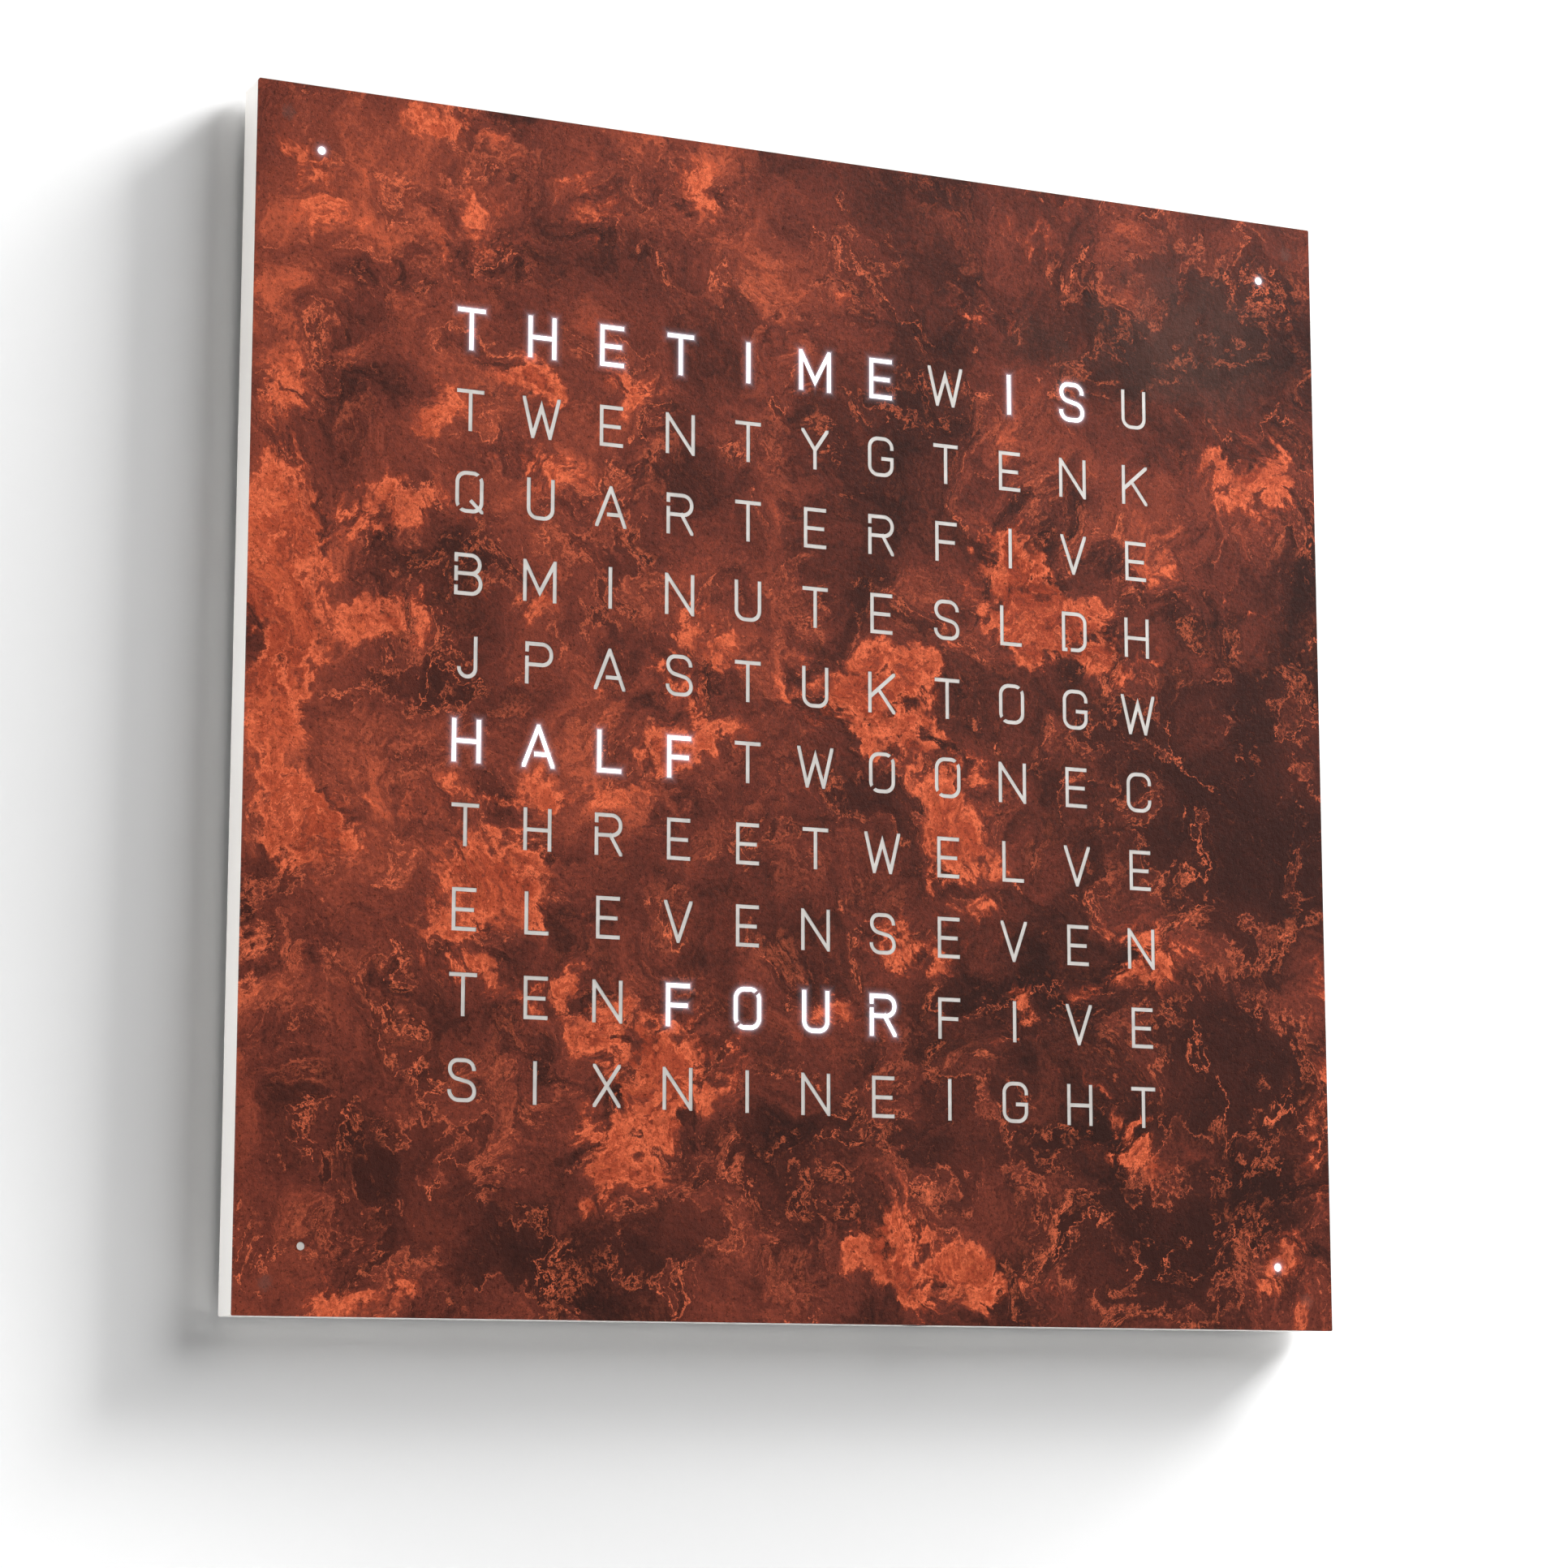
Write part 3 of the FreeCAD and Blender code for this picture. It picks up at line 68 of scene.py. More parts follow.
class Shader:
    """A material and short calls for the nodes it is made of."""

    def __init__(self, name):
        self.material = bpy.data.materials.new(name)
        self.material.use_nodes = True
        self.tree = self.material.node_tree
        self.tree.nodes.clear()
        self.surface = self.node("ShaderNodeBsdfPrincipled")
        self.output = self.node("ShaderNodeOutputMaterial")
        self.tree.links.new(self.surface.outputs[0], self.output.inputs["Surface"])
        self.place = self.node("ShaderNodeTexCoord").outputs["Object"]

    def node(self, kind, **settings):
        made = self.tree.nodes.new(kind)
        for name, value in settings.items():
            setattr(made, name, value)
        return made

    def put(self, socket, value):
        if isinstance(value, bpy.types.NodeSocket):
            self.tree.links.new(value, socket)
        else:
            socket.default_value = value

    def math(self, operation, *values):
        made = self.node("ShaderNodeMath", operation=operation)
        for socket, value in zip(made.inputs, values):
            self.put(socket, value)
        return made.outputs[0]

    def chain(self, operation, values):
        """Any number of values joined one after another by the same kind of sum."""
        result = values[0]
        for value in values[1:]:
            result = self.math(operation, result, value)
        return result

    def add(self, *values):
        return self.chain("ADD", values)

    def times(self, *values):
        return self.chain("MULTIPLY", values)

    def highest(self, *values):
        return self.chain("MAXIMUM", values)

    def off(self, value, level=0.0):
        """How far a value is from a level."""
        return self.math("ABSOLUTE", self.add(value, -level) if level else value)

    def vector(self, operation, *values):
        made = self.node("ShaderNodeVectorMath", operation=operation)
        for socket, value in zip(made.inputs, values):
            self.put(socket, value)
        if operation in ("LENGTH", "DISTANCE"):
            return made.outputs["Value"]
        return made.outputs["Vector"]

    def scaled(self, vector, factor):
        made = self.node("ShaderNodeVectorMath", operation="SCALE")
        self.put(made.inputs[0], vector)
        self.put(made.inputs["Scale"], factor)
        return made.outputs["Vector"]

    def noise(self, vector, scale, detail=2.0, roughness=0.5, colour=False, flat=False):
        made = self.node("ShaderNodeTexNoise", noise_dimensions="2D" if flat else "3D")
        self.put(made.inputs["Vector"], vector)
        self.put(made.inputs["Scale"], scale)
        self.put(made.inputs["Detail"], detail)
        self.put(made.inputs["Roughness"], roughness)
        return made.outputs["Color" if colour else 0]

    def fog(self, place, scale, detail, roughness=0.6):
        """Flat noise round 0."""
        return self.add(self.noise(place, scale, detail, roughness, flat=True), -0.5)

    def drifted(self, place, source, scale, detail, reach):
        """A place shifted by the noise at another one, which makes the forms on it flow."""
        shift = self.noise(source, scale, detail, 0.6, colour=True, flat=True)
        shift = self.scaled(self.vector("SUBTRACT", shift, (0.5, 0.5, 0.5)), reach)
        return self.vector("ADD", place, shift)

    def step(self, value, low, high):
        """0 below low, 1 above high and smooth between; low above high turns it round."""
        made = self.node("ShaderNodeMapRange", interpolation_type="SMOOTHSTEP")
        flip = low > high
        self.put(made.inputs["Value"], value)
        self.put(made.inputs["From Min"], min(low, high))
        self.put(made.inputs["From Max"], max(low, high))
        self.put(made.inputs["To Min"], 1.0 if flip else 0.0)
        self.put(made.inputs["To Max"], 0.0 if flip else 1.0)
        return made.outputs["Result"]

    def span(self, value, low, high):
        """A share from 0 to 1 put between low and high."""
        made = self.node("ShaderNodeMapRange")
        self.put(made.inputs["Value"], value)
        self.put(made.inputs["To Min"], low)
        self.put(made.inputs["To Max"], high)
        return made.outputs["Result"]

    def ramp(self, value, stops):
        made = self.node("ShaderNodeValToRGB")
        self.put(made.inputs[0], value)
        elements = made.color_ramp.elements
        while len(elements) < len(stops):
            elements.new(0.5)
        for element, (at, colour) in zip(elements, stops):
            element.position = at
            element.color = colour
        return made.outputs[0]

    def mix(self, share, first, second, blend="MIX"):
        made = self.node("ShaderNodeMix", data_type="RGBA", blend_type=blend)
        self.put(made.inputs[0], share)
        self.put(made.inputs[6], first)
        self.put(made.inputs[7], second)
        return made.outputs[2]

    def bump(self, height, distance, strength=1.0):
        made = self.node("ShaderNodeBump")
        self.put(made.inputs["Height"], height)
        self.put(made.inputs["Distance"], distance)
        self.put(made.inputs["Strength"], strength)
        return made.outputs[0]

    def set(self, **inputs):
        for name, value in inputs.items():
            self.put(self.surface.inputs[name.replace("_", " ")], value)
        return self

    def dress(self, *names):
        for name in names:
            slots = NODES[name].data.materials
            slots.clear()
            slots.append(self.material)
        return self


# Rust patina. Patches are listed in centimetres from the face's centre.
# Each is x, z, half width, half height, turn in degrees and strength.
CM_PER_M = 100
RUST_ORANGE = (
    (-20.2, 18.6, 1.6, 2.0, 0, 0.5),
    (-21.3, 2.5, 1.5, 7.5, 0, 1.1),
    (-20.3, -5.2, 2.2, 1.8, 20, 1.2),
    (-17.2, 6.7, 3.0, 1.1, 18, 0.75),
    (-17.0, 2.6, 2.8, 1.4, 8, 0.8),
    (-12.6, 4.3, 2.0, 1.2, 0, 0.7),
    (-11.5, 12.3, 1.6, 0.8, 0, 0.9),
    (-7.5, 12.4, 1.4, 0.9, 0, 0.7),
    (-11.2, 8.9, 2.4, 1.0, -30, 0.7),
    (-15.8, 10.6, 1.2, 2.6, 0, 0.55),
    (-12.5, -3.6, 4.5, 0.7, 5, 0.75),
    (-5.2, 2.0, 2.2, 3.5, 0, 0.6),
    (-6.0, -1.6, 3.0, 1.0, 30, 0.6),
    (2.6, 1.6, 3.4, 2.4, 10, 1.0),
    (5.6, -3.4, 2.2, 3.4, 20, 0.9),
    (9.0, 5.6, 2.6, 1.8, -15, 1.1),
    (11.6, 4.2, 3.0, 1.8, -25, 0.9),
    (8.5, 8.0, 1.6, 1.4, 0, 0.7),
    (19.5, 11.8, 2.6, 1.6, 0, 0.75),
    (17.5, 5.5, 4.5, 3.0, 0, 0.35),
    (14.6, -8.0, 2.4, 2.2, 0, 0.7),
    (13.0, -14.5, 3.4, 2.6, 30, 0.42),
    (15.2, -16.5, 4.0, 1.2, -20, 0.6),
    (20.0, -19.8, 1.8, 2.0, 0, 0.65),
    (22.0, -13.0, 0.9, 5.0, 0, 0.55),
    (3.5, -19.5, 2.2, 2.6, 0, 0.85),
    (7.4, -21.0, 3.4, 1.6, 0, 0.75),
    (-6.2, -13.2, 3.2, 2.4, -10, 0.95),
    (-8.0, -17.0, 2.4, 2.6, 0, 0.7),
    (-10.0, -11.0, 3.0, 1.4, -20, 0.5),
    (-14.0, -8.4, 2.2, 3.4, -30, 0.7),
    (-12.0, -6.5, 3.2, 1.4, -20, 0.6),
    (3.6, -8.2, 2.6, 1.2, 0, 0.7),
    (9.0, -10.0, 3.0, 1.6, 0, 0.55),
    (-15.2, 21.8, 2.4, 0.6, 0, 0.8),
    (-5.0, 20.5, 2.6, 1.4, -30, 0.5),
    (-9.8, 19.2, 1.4, 2.0, 0, 0.5),
    (-13.6, 17.6, 2.0, 2.4, 0, 0.45),
    (1.8, 17.4, 2.0, 1.6, 0, 0.45),
    (7.5, 17.0, 3.0, 1.0, 0, 0.45),
    (10.0, 20.5, 4.0, 1.2, 0, 0.3),
    (-17.5, -21.6, 3.0, 0.9, 0, 0.7),
    (0.5, -10.8, 1.4, 1.0, 0, 0.6),
    (-20.5, 12.0, 1.6, 3.0, 0, 0.3),
)
RUST_DARK = (
    (18.6, -1.4, 5.0, 6.4, 0, 1.25),
    (11.0, -19.5, 6.0, 3.6, 0, 0.4),
    (1.0, 18.5, 5.0, 3.0, 0, 0.4),
    (6.0, -15.5, 5.0, 2.6, 0, 0.6),
    (18.0, -13.0, 5.0, 5.0, 0, 0.5),
    (15.5, -19.6, 4.6, 2.8, 0, 0.8),
    (17.5, -12.0, 4.0, 3.0, 0, 0.7),
    (-15.6, -17.8, 3.2, 3.4, 30, 1.0),
    (-11.5, -20.2, 4.4, 2.2, 0, 0.7),
    (-5.8, -19.2, 2.6, 1.6, 15, 0.8),
    (-21.6, -6.6, 1.6, 2.2, 0, 0.8),
    (-15.6, 0.8, 3.0, 1.8, 0, 0.8),
    (-14.4, 5.2, 3.2, 2.4, 0, 0.6),
    (-8.4, 5.0, 2.4, 2.6, 0, 0.6),
    (17.2, 18.8, 3.8, 2.8, 0, 1.1),
    (13.0, 15.5, 2.8, 2.0, 0, 0.7),
    (4.0, 13.5, 4.0, 2.0, 0, 0.5),
    (1.0, 4.6, 3.6, 1.6, 0, 0.7),
    (2.6, -2.6, 2.8, 1.6, 0, 0.8),
    (-2.0, -4.4, 2.2, 1.4, 0, 0.5),
    (12.5, 0.4, 3.0, 2.2, 0, 0.5),
    (0.0, 11.0, 3.0, 2.4, 0, 0.35),
    (-1.0, -17.0, 3.4, 2.6, 0, 0.5),
    (6.5, -14.0, 3.0, 2.0, 0, 0.45),
)
RUST_WORMY = ((16.6, 17.2, 4.6, 4.2, 0, 1.0), (9.5, 16.2, 3.0, 1.6, 0, 0.5))
# A patch has faded at this many times its half width and half height
PATCH_SPREAD = 1.4
# The levels at which an orange sheet has its rim and a dark island its shore
SHEET_RIM = 0.46
ISLAND_SHORE = 0.4


def patch_field(shader, place, patches):
    """The sum of soft patches over the face."""
    total = None
    for x, z, wide, high, turn, strength in patches:
        local = shader.node("ShaderNodeMapping", vector_type="TEXTURE")
        shader.put(local.inputs["Vector"], place)
        local.inputs["Location"].default_value = (x, z, 0)
        local.inputs["Rotation"].default_value = (0, 0, math.radians(turn))
        local.inputs["Scale"].default_value = (PATCH_SPREAD * wide, PATCH_SPREAD * high, 1)
        ball = shader.node("ShaderNodeTexGradient", gradient_type="SPHERICAL")
        shader.put(ball.inputs["Vector"], local.outputs[0])
        share = shader.times(ball.outputs["Fac"], strength)
        total = share if total is None else shader.add(total, share)
    return total


def face_place(shader):
    """A place on the face in centimetres from its centre: X to the right and Y up."""
    split = shader.node("ShaderNodeSeparateXYZ")
    shader.put(split.inputs[0], shader.place)
    across = shader.times(shader.add(split.outputs["X"], -FACE_CENTRE.x), CM_PER_M)
    up = shader.times(shader.add(split.outputs["Z"], -FACE_CENTRE.z), CM_PER_M)
    joined = shader.node("ShaderNodeCombineXYZ")
    shader.put(joined.inputs["X"], across)
    shader.put(joined.inputs["Y"], up)
    return joined.outputs[0], across, up


def rust_fields(shader):
    """The places, patches and noises that all layers of the rust share."""
    plain, across, up = face_place(shader)
    place = shader.drifted(plain, plain, 0.1, 3, 5.0)
    place = shader.drifted(place, place, 0.32, 6, 4.2)
    crinkled = shader.drifted(place, plain, 2.2, 5, 0.75)
    ragged = shader.drifted(plain, plain, 0.42, 6, 2.8)
    orange = patch_field(shader, ragged, RUST_ORANGE)
    dark = patch_field(shader, ragged, RUST_DARK)
    cloud = shader.fog(place, 0.15, 4)
    mottle = shader.fog(crinkled, 0.5, 8, 0.66)
    clots = shader.fog(crinkled, 1.5, 6, 0.68)
    stirred = shader.add(
        shader.times(orange, 0.5), shader.fog(plain, 0.17, 2), shader.times(dark, -0.25)
    )
    field = shader.add(
        shader.times(orange, 1.05),
        shader.times(mottle, 1.6),
        shader.times(cloud, 0.5),
        -0.06,
        shader.times(dark, -0.5),
    )
    return SimpleNamespace(
        plain=plain,
        across=across,
        up=up,
        place=place,
        crinkled=crinkled,
        orange=orange,
        dark=dark,
        wormy=patch_field(shader, ragged, RUST_WORMY),
        cloud=cloud,
        mottle=mottle,
        clots=clots,
        grit=shader.fog(plain, 5.0, 4, 0.72),
        grain=shader.fog(plain, 24.0, 2, 0.7),
        activity=shader.step(stirred, -0.1, 0.3),
        rim_breaks=shader.step(shader.fog(plain, 0.6, 3), -0.14, 0.04),
        field=field,
        edge=shader.add(field, shader.times(clots, 0.5)),
        hollow=shader.add(dark, shader.times(mottle, -1.3), shader.times(clots, -0.5)),
    )


def rust_ground(shader, rust):
    """Near black through brown to red brown, with a painted sheen that makes it brighter to the left
    and towards the top, and with crisp dark islands.
    """
    tone = shader.add(
        0.415,
        shader.times(rust.cloud, 1.45),
        shader.times(rust.mottle, 1.7, shader.span(rust.activity, 0.3, 1.0)),
        shader.times(rust.dark, -0.2),
        shader.times(rust.orange, 0.22),
        # Painted sheen: the tone rises to the left and towards the top
        shader.times(rust.across, -0.008),
        shader.times(rust.up, 0.003),
        shader.times(rust.clots, shader.span(rust.activity, 0.45, 1.1)),
        shader.times(rust.grit, 0.5),
    )
    ground = shader.ramp(
        tone,
        [
            (0.0, linear(52, 28, 23)),
            (0.22, linear(78, 39, 31)),
            (0.48, linear(114, 54, 42)),
            (0.74, linear(149, 70, 51)),
            (1.0, linear(206, 97, 65)),
        ],
    )
    island = shader.step(rust.hollow, ISLAND_SHORE, 0.5)
    return shader.mix(shader.times(island, 0.42), ground, linear(66, 34, 28))


def rust_sheets(shader, rust, colour):
    """Sheets of orange rust with clearings in them and warm rims."""
    sheet = shader.step(rust.edge, 0.42, 0.56)
    clearings = shader.step(rust.clots, -0.16, 0.02)
    sheet = shader.times(sheet, shader.span(clearings, 0.3, 1.0))
    crumbs = shader.fog(rust.crinkled, 2.4, 6, 0.72)
    sheet_colour = shader.ramp(
        shader.add(
            0.36,
            shader.times(crumbs, 1.8),
            shader.times(rust.mottle, 0.9),
            shader.times(rust.grit, 0.5),
        ),
        [
            (0.05, linear(138, 56, 38)),
            (0.4, linear(200, 80, 48)),
            (0.8, linear(255, 122, 74)),
        ],
    )
    colour = shader.mix(shader.times(sheet, 0.56), colour, sheet_colour)
    rim = shader.step(shader.off(rust.edge, SHEET_RIM), 0.24, 0.0)
    warmth = shader.times(rim, shader.span(rust.rim_breaks, 0.2, 1.0))
    return shader.mix(shader.times(warmth, 0.42), colour, linear(220, 88, 48))


def rust_lines(shader, rust, colour):
    """Bright crinkled lines along the levels of the field, and dark ones beside them."""
    wave = shader.math("PINGPONG", shader.add(shader.times(rust.field, 1.7), 5.0), 0.5)
    breaks = shader.step(shader.fog(rust.place, 0.5, 4, 0.62), -0.02, 0.1)
    crests = shader.times(
        shader.step(wave, 0.13, 0.02), breaks, shader.span(rust.activity, 0.05, 0.8)
    )
    rims = shader.step(shader.off(rust.edge, SHEET_RIM), 0.12, 0.03)
    shores = shader.step(shader.off(rust.hollow, ISLAND_SHORE), 0.05, 0.01)
    veins = shader.step(shader.off(shader.fog(rust.crinkled, 0.3, 6, 0.6)), 0.016, 0.002)
    vein_breaks = shader.step(shader.fog(rust.place, 0.33, 3), 0.03, 0.14)
    lines = shader.highest(
        crests,
        shader.times(rims, rust.rim_breaks),
        shader.times(shores, rust.rim_breaks, 0.6),
        shader.times(veins, vein_breaks),
    )
    lines = shader.times(lines, shader.span(shader.step(rust.grit, -0.16, 0.08), 0.3, 1.0))
    flecks = shader.step(shader.fog(rust.crinkled, 3.2, 5, 0.7), 0.1, 0.2)
    flecks = shader.times(flecks, shader.span(rust.activity, 0.1, 0.7))
    lines = shader.highest(lines, flecks)
    shade = shader.times(shader.step(shader.off(wave, 0.16), 0.1, 0), breaks)
    colour = shader.mix(shader.times(shade, 0.3), colour, linear(52, 22, 16))
    return shader.mix(shader.times(lines, 0.9), colour, linear(255, 126, 84))


def rust_marks(shader, rust, colour):
    """Dark wormy blisters, pits, the weld marks of the studs and a fine grain."""
    worms = shader.step(shader.off(shader.fog(rust.crinkled, 0.75, 4)), 0.035, 0.0)
    worms = shader.times(worms, shader.step(rust.wormy, 0.15, 0.6))
    colour = shader.mix(shader.times(worms, 0.7), colour, linear(34, 20, 18))
    pits = shader.step(shader.fog(rust.plain, 7.0, 2), -0.13, -0.21)
    colour = shader.mix(shader.times(pits, 0.5), colour, linear(30, 15, 12))
    haze = shader.times(shader.step(rust.wormy, 0.1, 0.9), 0.3)
    colour = shader.mix(haze, colour, linear(112, 82, 72))
    from_mark = shader.node("ShaderNodeCombineXYZ")
    for axis, value in (("X", rust.across), ("Y", rust.up)):
        past = shader.add(shader.off(value), -CM_PER_M * STUD_MARK_PLACE)
        shader.put(from_mark.inputs[axis], past)
    reach = shader.add(shader.vector("LENGTH", from_mark.outputs[0]), shader.times(rust.grit, 0.5))
    smudge = shader.step(reach, 0.36, 0.14)
    colour = shader.mix(shader.times(smudge, 0.35), colour, linear(112, 84, 76))
    return shader.mix(1.0, colour, shader.span(rust.grain, 0.76, 1.08), "MULTIPLY")


def rust_material():
    shader = Shader("rust_patina")
    rust = rust_fields(shader)
    colour = rust_ground(shader, rust)
    for layer in (rust_sheets, rust_lines, rust_marks):
        colour = layer(shader, rust, colour)
    swell = shader.fog(rust.plain, 1.3, 3)
    relief = shader.add(shader.times(rust.grit, 0.5), shader.times(rust.grain, 0.35), swell)
    shader.set(
        Base_Color=colour,
        Roughness=shader.add(0.62, shader.times(rust.grit, 0.3)),
        Normal=shader.bump(relief, 0.0003, 0.7),
        Specular_IOR_Level=0.04,
    )
    shader.dress("front_cover")


def simple(name, colour, roughness, nodes, metallic=0.0, scale=300.0, spread=0.12, dent=0.00004):
    """A moulded, painted or metal finish with fine variation of tone, gloss and relief."""
    shader = Shader(name)
    fine = shader.noise(shader.place, scale, 4, 0.6)
    slow = shader.noise(shader.place, scale / 12, 3, 0.5)
    tone = shader.add(shader.times(fine, 0.5), shader.times(slow, 0.5))
    darker = tuple(channel * (1 - spread) for channel in colour[:3]) + (1.0,)
    lighter = tuple(min(1.0, channel * (1 + spread)) for channel in colour[:3]) + (1.0,)
    shader.set(
        Base_Color=shader.ramp(tone, [(0.3, darker), (0.7, lighter)]),
        Metallic=metallic,
        Roughness=shader.span(fine, roughness * 0.85, roughness * 1.15),
        Normal=shader.bump(fine, dent, 0.6),
    )
    return shader.dress(*nodes)


def lacquer_material():
    """Sprayed satin lacquer: a faint orange peel and a slow change of tone."""
    shader = Shader("white_lacquer")
    peel = shader.noise(shader.place, 420, 3, 0.5)
    slow = shader.noise(shader.place, 9, 3, 0.5)
    shader.set(
        Base_Color=shader.ramp(slow, [(0.3, linear(232, 228, 223)), (0.7, linear(239, 236, 232))]),
        Roughness=shader.span(peel, 0.26, 0.36),
        Normal=shader.bump(peel, 0.00005, 0.35),
    )
    shader.dress("case_body")


def galvanised_material():
    """Hot-dip zinc: crystals of different greys with a fine grainy relief."""
    shader = Shader("galvanised")
    crystals = shader.node("ShaderNodeTexVoronoi")
    shader.put(crystals.inputs["Vector"], shader.place)
    shader.put(crystals.inputs["Scale"], 190)
    tint = shader.node("ShaderNodeSeparateColor")
    shader.put(tint.inputs[0], crystals.outputs["Color"])
    fine = shader.noise(shader.place, 700, 4, 0.7)
    tone = shader.add(shader.times(tint.outputs[0], 0.7), shader.times(fine, 0.3))
    shader.set(
        Base_Color=shader.ramp(tone, [(0.1, linear(160, 165, 170)), (0.9, linear(206, 209, 212))]),
        Metallic=0.45,
        Roughness=shader.span(tint.outputs[1], 0.36, 0.52),
        Normal=shader.bump(fine, 0.00004, 0.5),
    )
    shader.dress("wall_bracket", "hanger_plate")


def board_material():
    """Green solder mask over copper runs, which show as slightly lighter lines."""
    shader = Shader("circuit_board")
    split = shader.node("ShaderNodeSeparateXYZ")
    shader.put(split.inputs[0], shader.place)
    flat = shader.node("ShaderNodeCombineXYZ")
    shader.put(flat.inputs["X"], split.outputs["X"])
    shader.put(flat.inputs["Y"], split.outputs["Z"])
    runs = shader.node("ShaderNodeTexBrick", offset=0.37)
    shader.put(runs.inputs["Vector"], flat.outputs[0])
    for name, value in (
        ("Scale", 1.0),
        ("Mortar Size", 0.0003),
        ("Mortar Smooth", 0.2),
        ("Brick Width", 0.0141),
        ("Row Height", 0.0026),
        ("Color1", linear(14, 66, 40)),
        ("Color2", linear(18, 74, 45)),
        ("Mortar", linear(44, 116, 74)),
    ):
        shader.put(runs.inputs[name], value)
    fine = shader.noise(shader.place, 900, 3, 0.6)
    shader.set(
        Base_Color=shader.mix(0.25, runs.outputs["Color"], fine, "SOFT_LIGHT"),
        Roughness=shader.span(fine, 0.3, 0.42),
        Normal=shader.bump(runs.outputs["Fac"], 0.00003, 0.5),
    )
    shader.dress("matrix_board", "corner_boards", "controller_board")


def inlay_materials():
    unlit = Shader("opal_resin")
    cloud = unlit.noise(unlit.place, 160, 3, 0.5)
    unlit.set(
        Base_Color=unlit.ramp(cloud, [(0.3, linear(186, 181, 176)), (0.7, linear(204, 199, 194))]),
        Roughness=0.45,
        Subsurface_Weight=0.2,
        Subsurface_Radius=(0.001, 0.001, 0.001),
    )
    unlit.dress("letter_inlays")
    lit = Shader("lit_resin")
    core = lit.noise(lit.place, 120, 2, 0.5)
    lit.set(
        Base_Color=linear(250, 250, 255),
        Roughness=0.4,
        Emission_Color=lit.ramp(core, [(0.2, linear(244, 240, 255)), (0.6, linear(255, 255, 255))]),
        Emission_Strength=1.6,
    )
    lit.dress("lit_letter_inlays")


# The glow round a lit letter: how far out in metres and how strong there
GLOW_STEPS = ((0.0, 0.6), (0.0003, 0.28), (0.0007, 0.08), (0.0014, 0.025), (0.0028, 0.0))
# How far in metres the glow lies in front of the steel
GLOW_LIFT = 0.00003
# A letter's front faces look along -Y at least this squarely and lie this near its front in metres
FRONT_SQUARENESS = 0.9
FRONT_DEPTH = 0.00001
# At a sharp corner the glow reaches out no more than 1 / LEAST_CORNER times as far
LEAST_CORNER = 0.6


def front_rims(letters):
    """The edges round the letters' front faces, and the ways outward from each of their vertices."""
    front = min(vertex.co.y for vertex in letters.verts)
    faces = []
    for face in letters.faces:
        near = face.calc_center_median().y < front + FRONT_DEPTH
        if near and face.normal.y < -FRONT_SQUARENESS:
            faces.append(face)
    chosen = set(faces)
    outward = {}
    rims = []
    for face in faces:
        for loop in face.loops:
            if sum(other in chosen for other in loop.edge.link_faces) > 1:
                continue
            start, end = loop.vert, loop.link_loop_next.vert
            away = (end.co - start.co).normalized().cross(face.normal)
            rims.append((start, end))
            for vertex in (start, end):
                outward.setdefault(vertex, []).append(away)
    return rims, outward


def glow_material():
    """Clear where the glow is 0 and white light where it is 1."""
    shader = Shader("letter_glow")
    share = shader.node("ShaderNodeVertexColor", layer_name="glow")
    clear = shader.node("ShaderNodeBsdfTransparent")
    light = shader.node("ShaderNodeEmission")
    light.inputs["Color"].default_value = linear(246, 240, 255)
    mixed = shader.node("ShaderNodeMixShader")
    shader.put(mixed.inputs[0], share.outputs["Color"])
    shader.put(mixed.inputs[1], clear.outputs[0])
    shader.put(mixed.inputs[2], light.outputs[0])
    shader.put(shader.output.inputs["Surface"], mixed.outputs[0])
    return shader.material


def make_glow():
    """The light that the lit letters throw on the steel round them."""
    letters = bmesh.new()
    letters.from_mesh(NODES["lit_letter_inlays"].data)
    rims, outward = front_rims(letters)
    points, quads, shares = [], [], []
    rows = {}
    for vertex, aways in outward.items():
        middle = sum(aways, Vector()).normalized()
        stretch = 1 / max(LEAST_CORNER, middle.dot(aways[0]))
        rows[vertex] = len(points)
        for reach, share in GLOW_STEPS:
            at = vertex.co + middle * stretch * reach
            points.append((at.x, cover_low.y - GLOW_LIFT, at.z))
            shares.append(share)
    for start, end in rims:
        for step in range(len(GLOW_STEPS) - 1):
            first, second = rows[start] + step, rows[end] + step
            quads.append((first, second, second + 1, first + 1))
    letters.free()
    mesh = bpy.data.meshes.new("letter_glow")
    mesh.from_pydata(points, [], quads)
    layer = mesh.color_attributes.new("glow", "FLOAT_COLOR", "POINT")
    for item, share in zip(layer.data, shares):
        item.color = (share, share, share, 1)
    glow = bpy.data.objects.new("letter_glow", mesh)
    bpy.context.scene.collection.objects.link(glow)
    glow.visible_shadow = False
    mesh.materials.append(glow_material())
    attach(glow, "cover")


# The photograph's camera, 1.54 m off, left of the clock and a little below it: the lens and the
# sensor's width in mm, the place in metres from the face's centre and the way it looks
CAMERA_LENS = 92.71
CAMERA_SENSOR = 36.0
CAMERA_OFFSET = Vector((-0.64484, -1.36778, -0.27130))
CAMERA_DIRECTION = Vector((0.41366, 0.89577, 0.16275))


def make_camera():
    data = bpy.data.cameras.new("camera")
    data.lens = CAMERA_LENS
    data.sensor_width = CAMERA_SENSOR
    camera = bpy.data.objects.new("camera", data)
    camera.location = FACE_CENTRE + CAMERA_OFFSET
    camera.rotation_euler = CAMERA_DIRECTION.to_track_quat("-Z", "Y").to_euler()
    bpy.context.scene.collection.objects.link(camera)
    bpy.context.scene.camera = camera


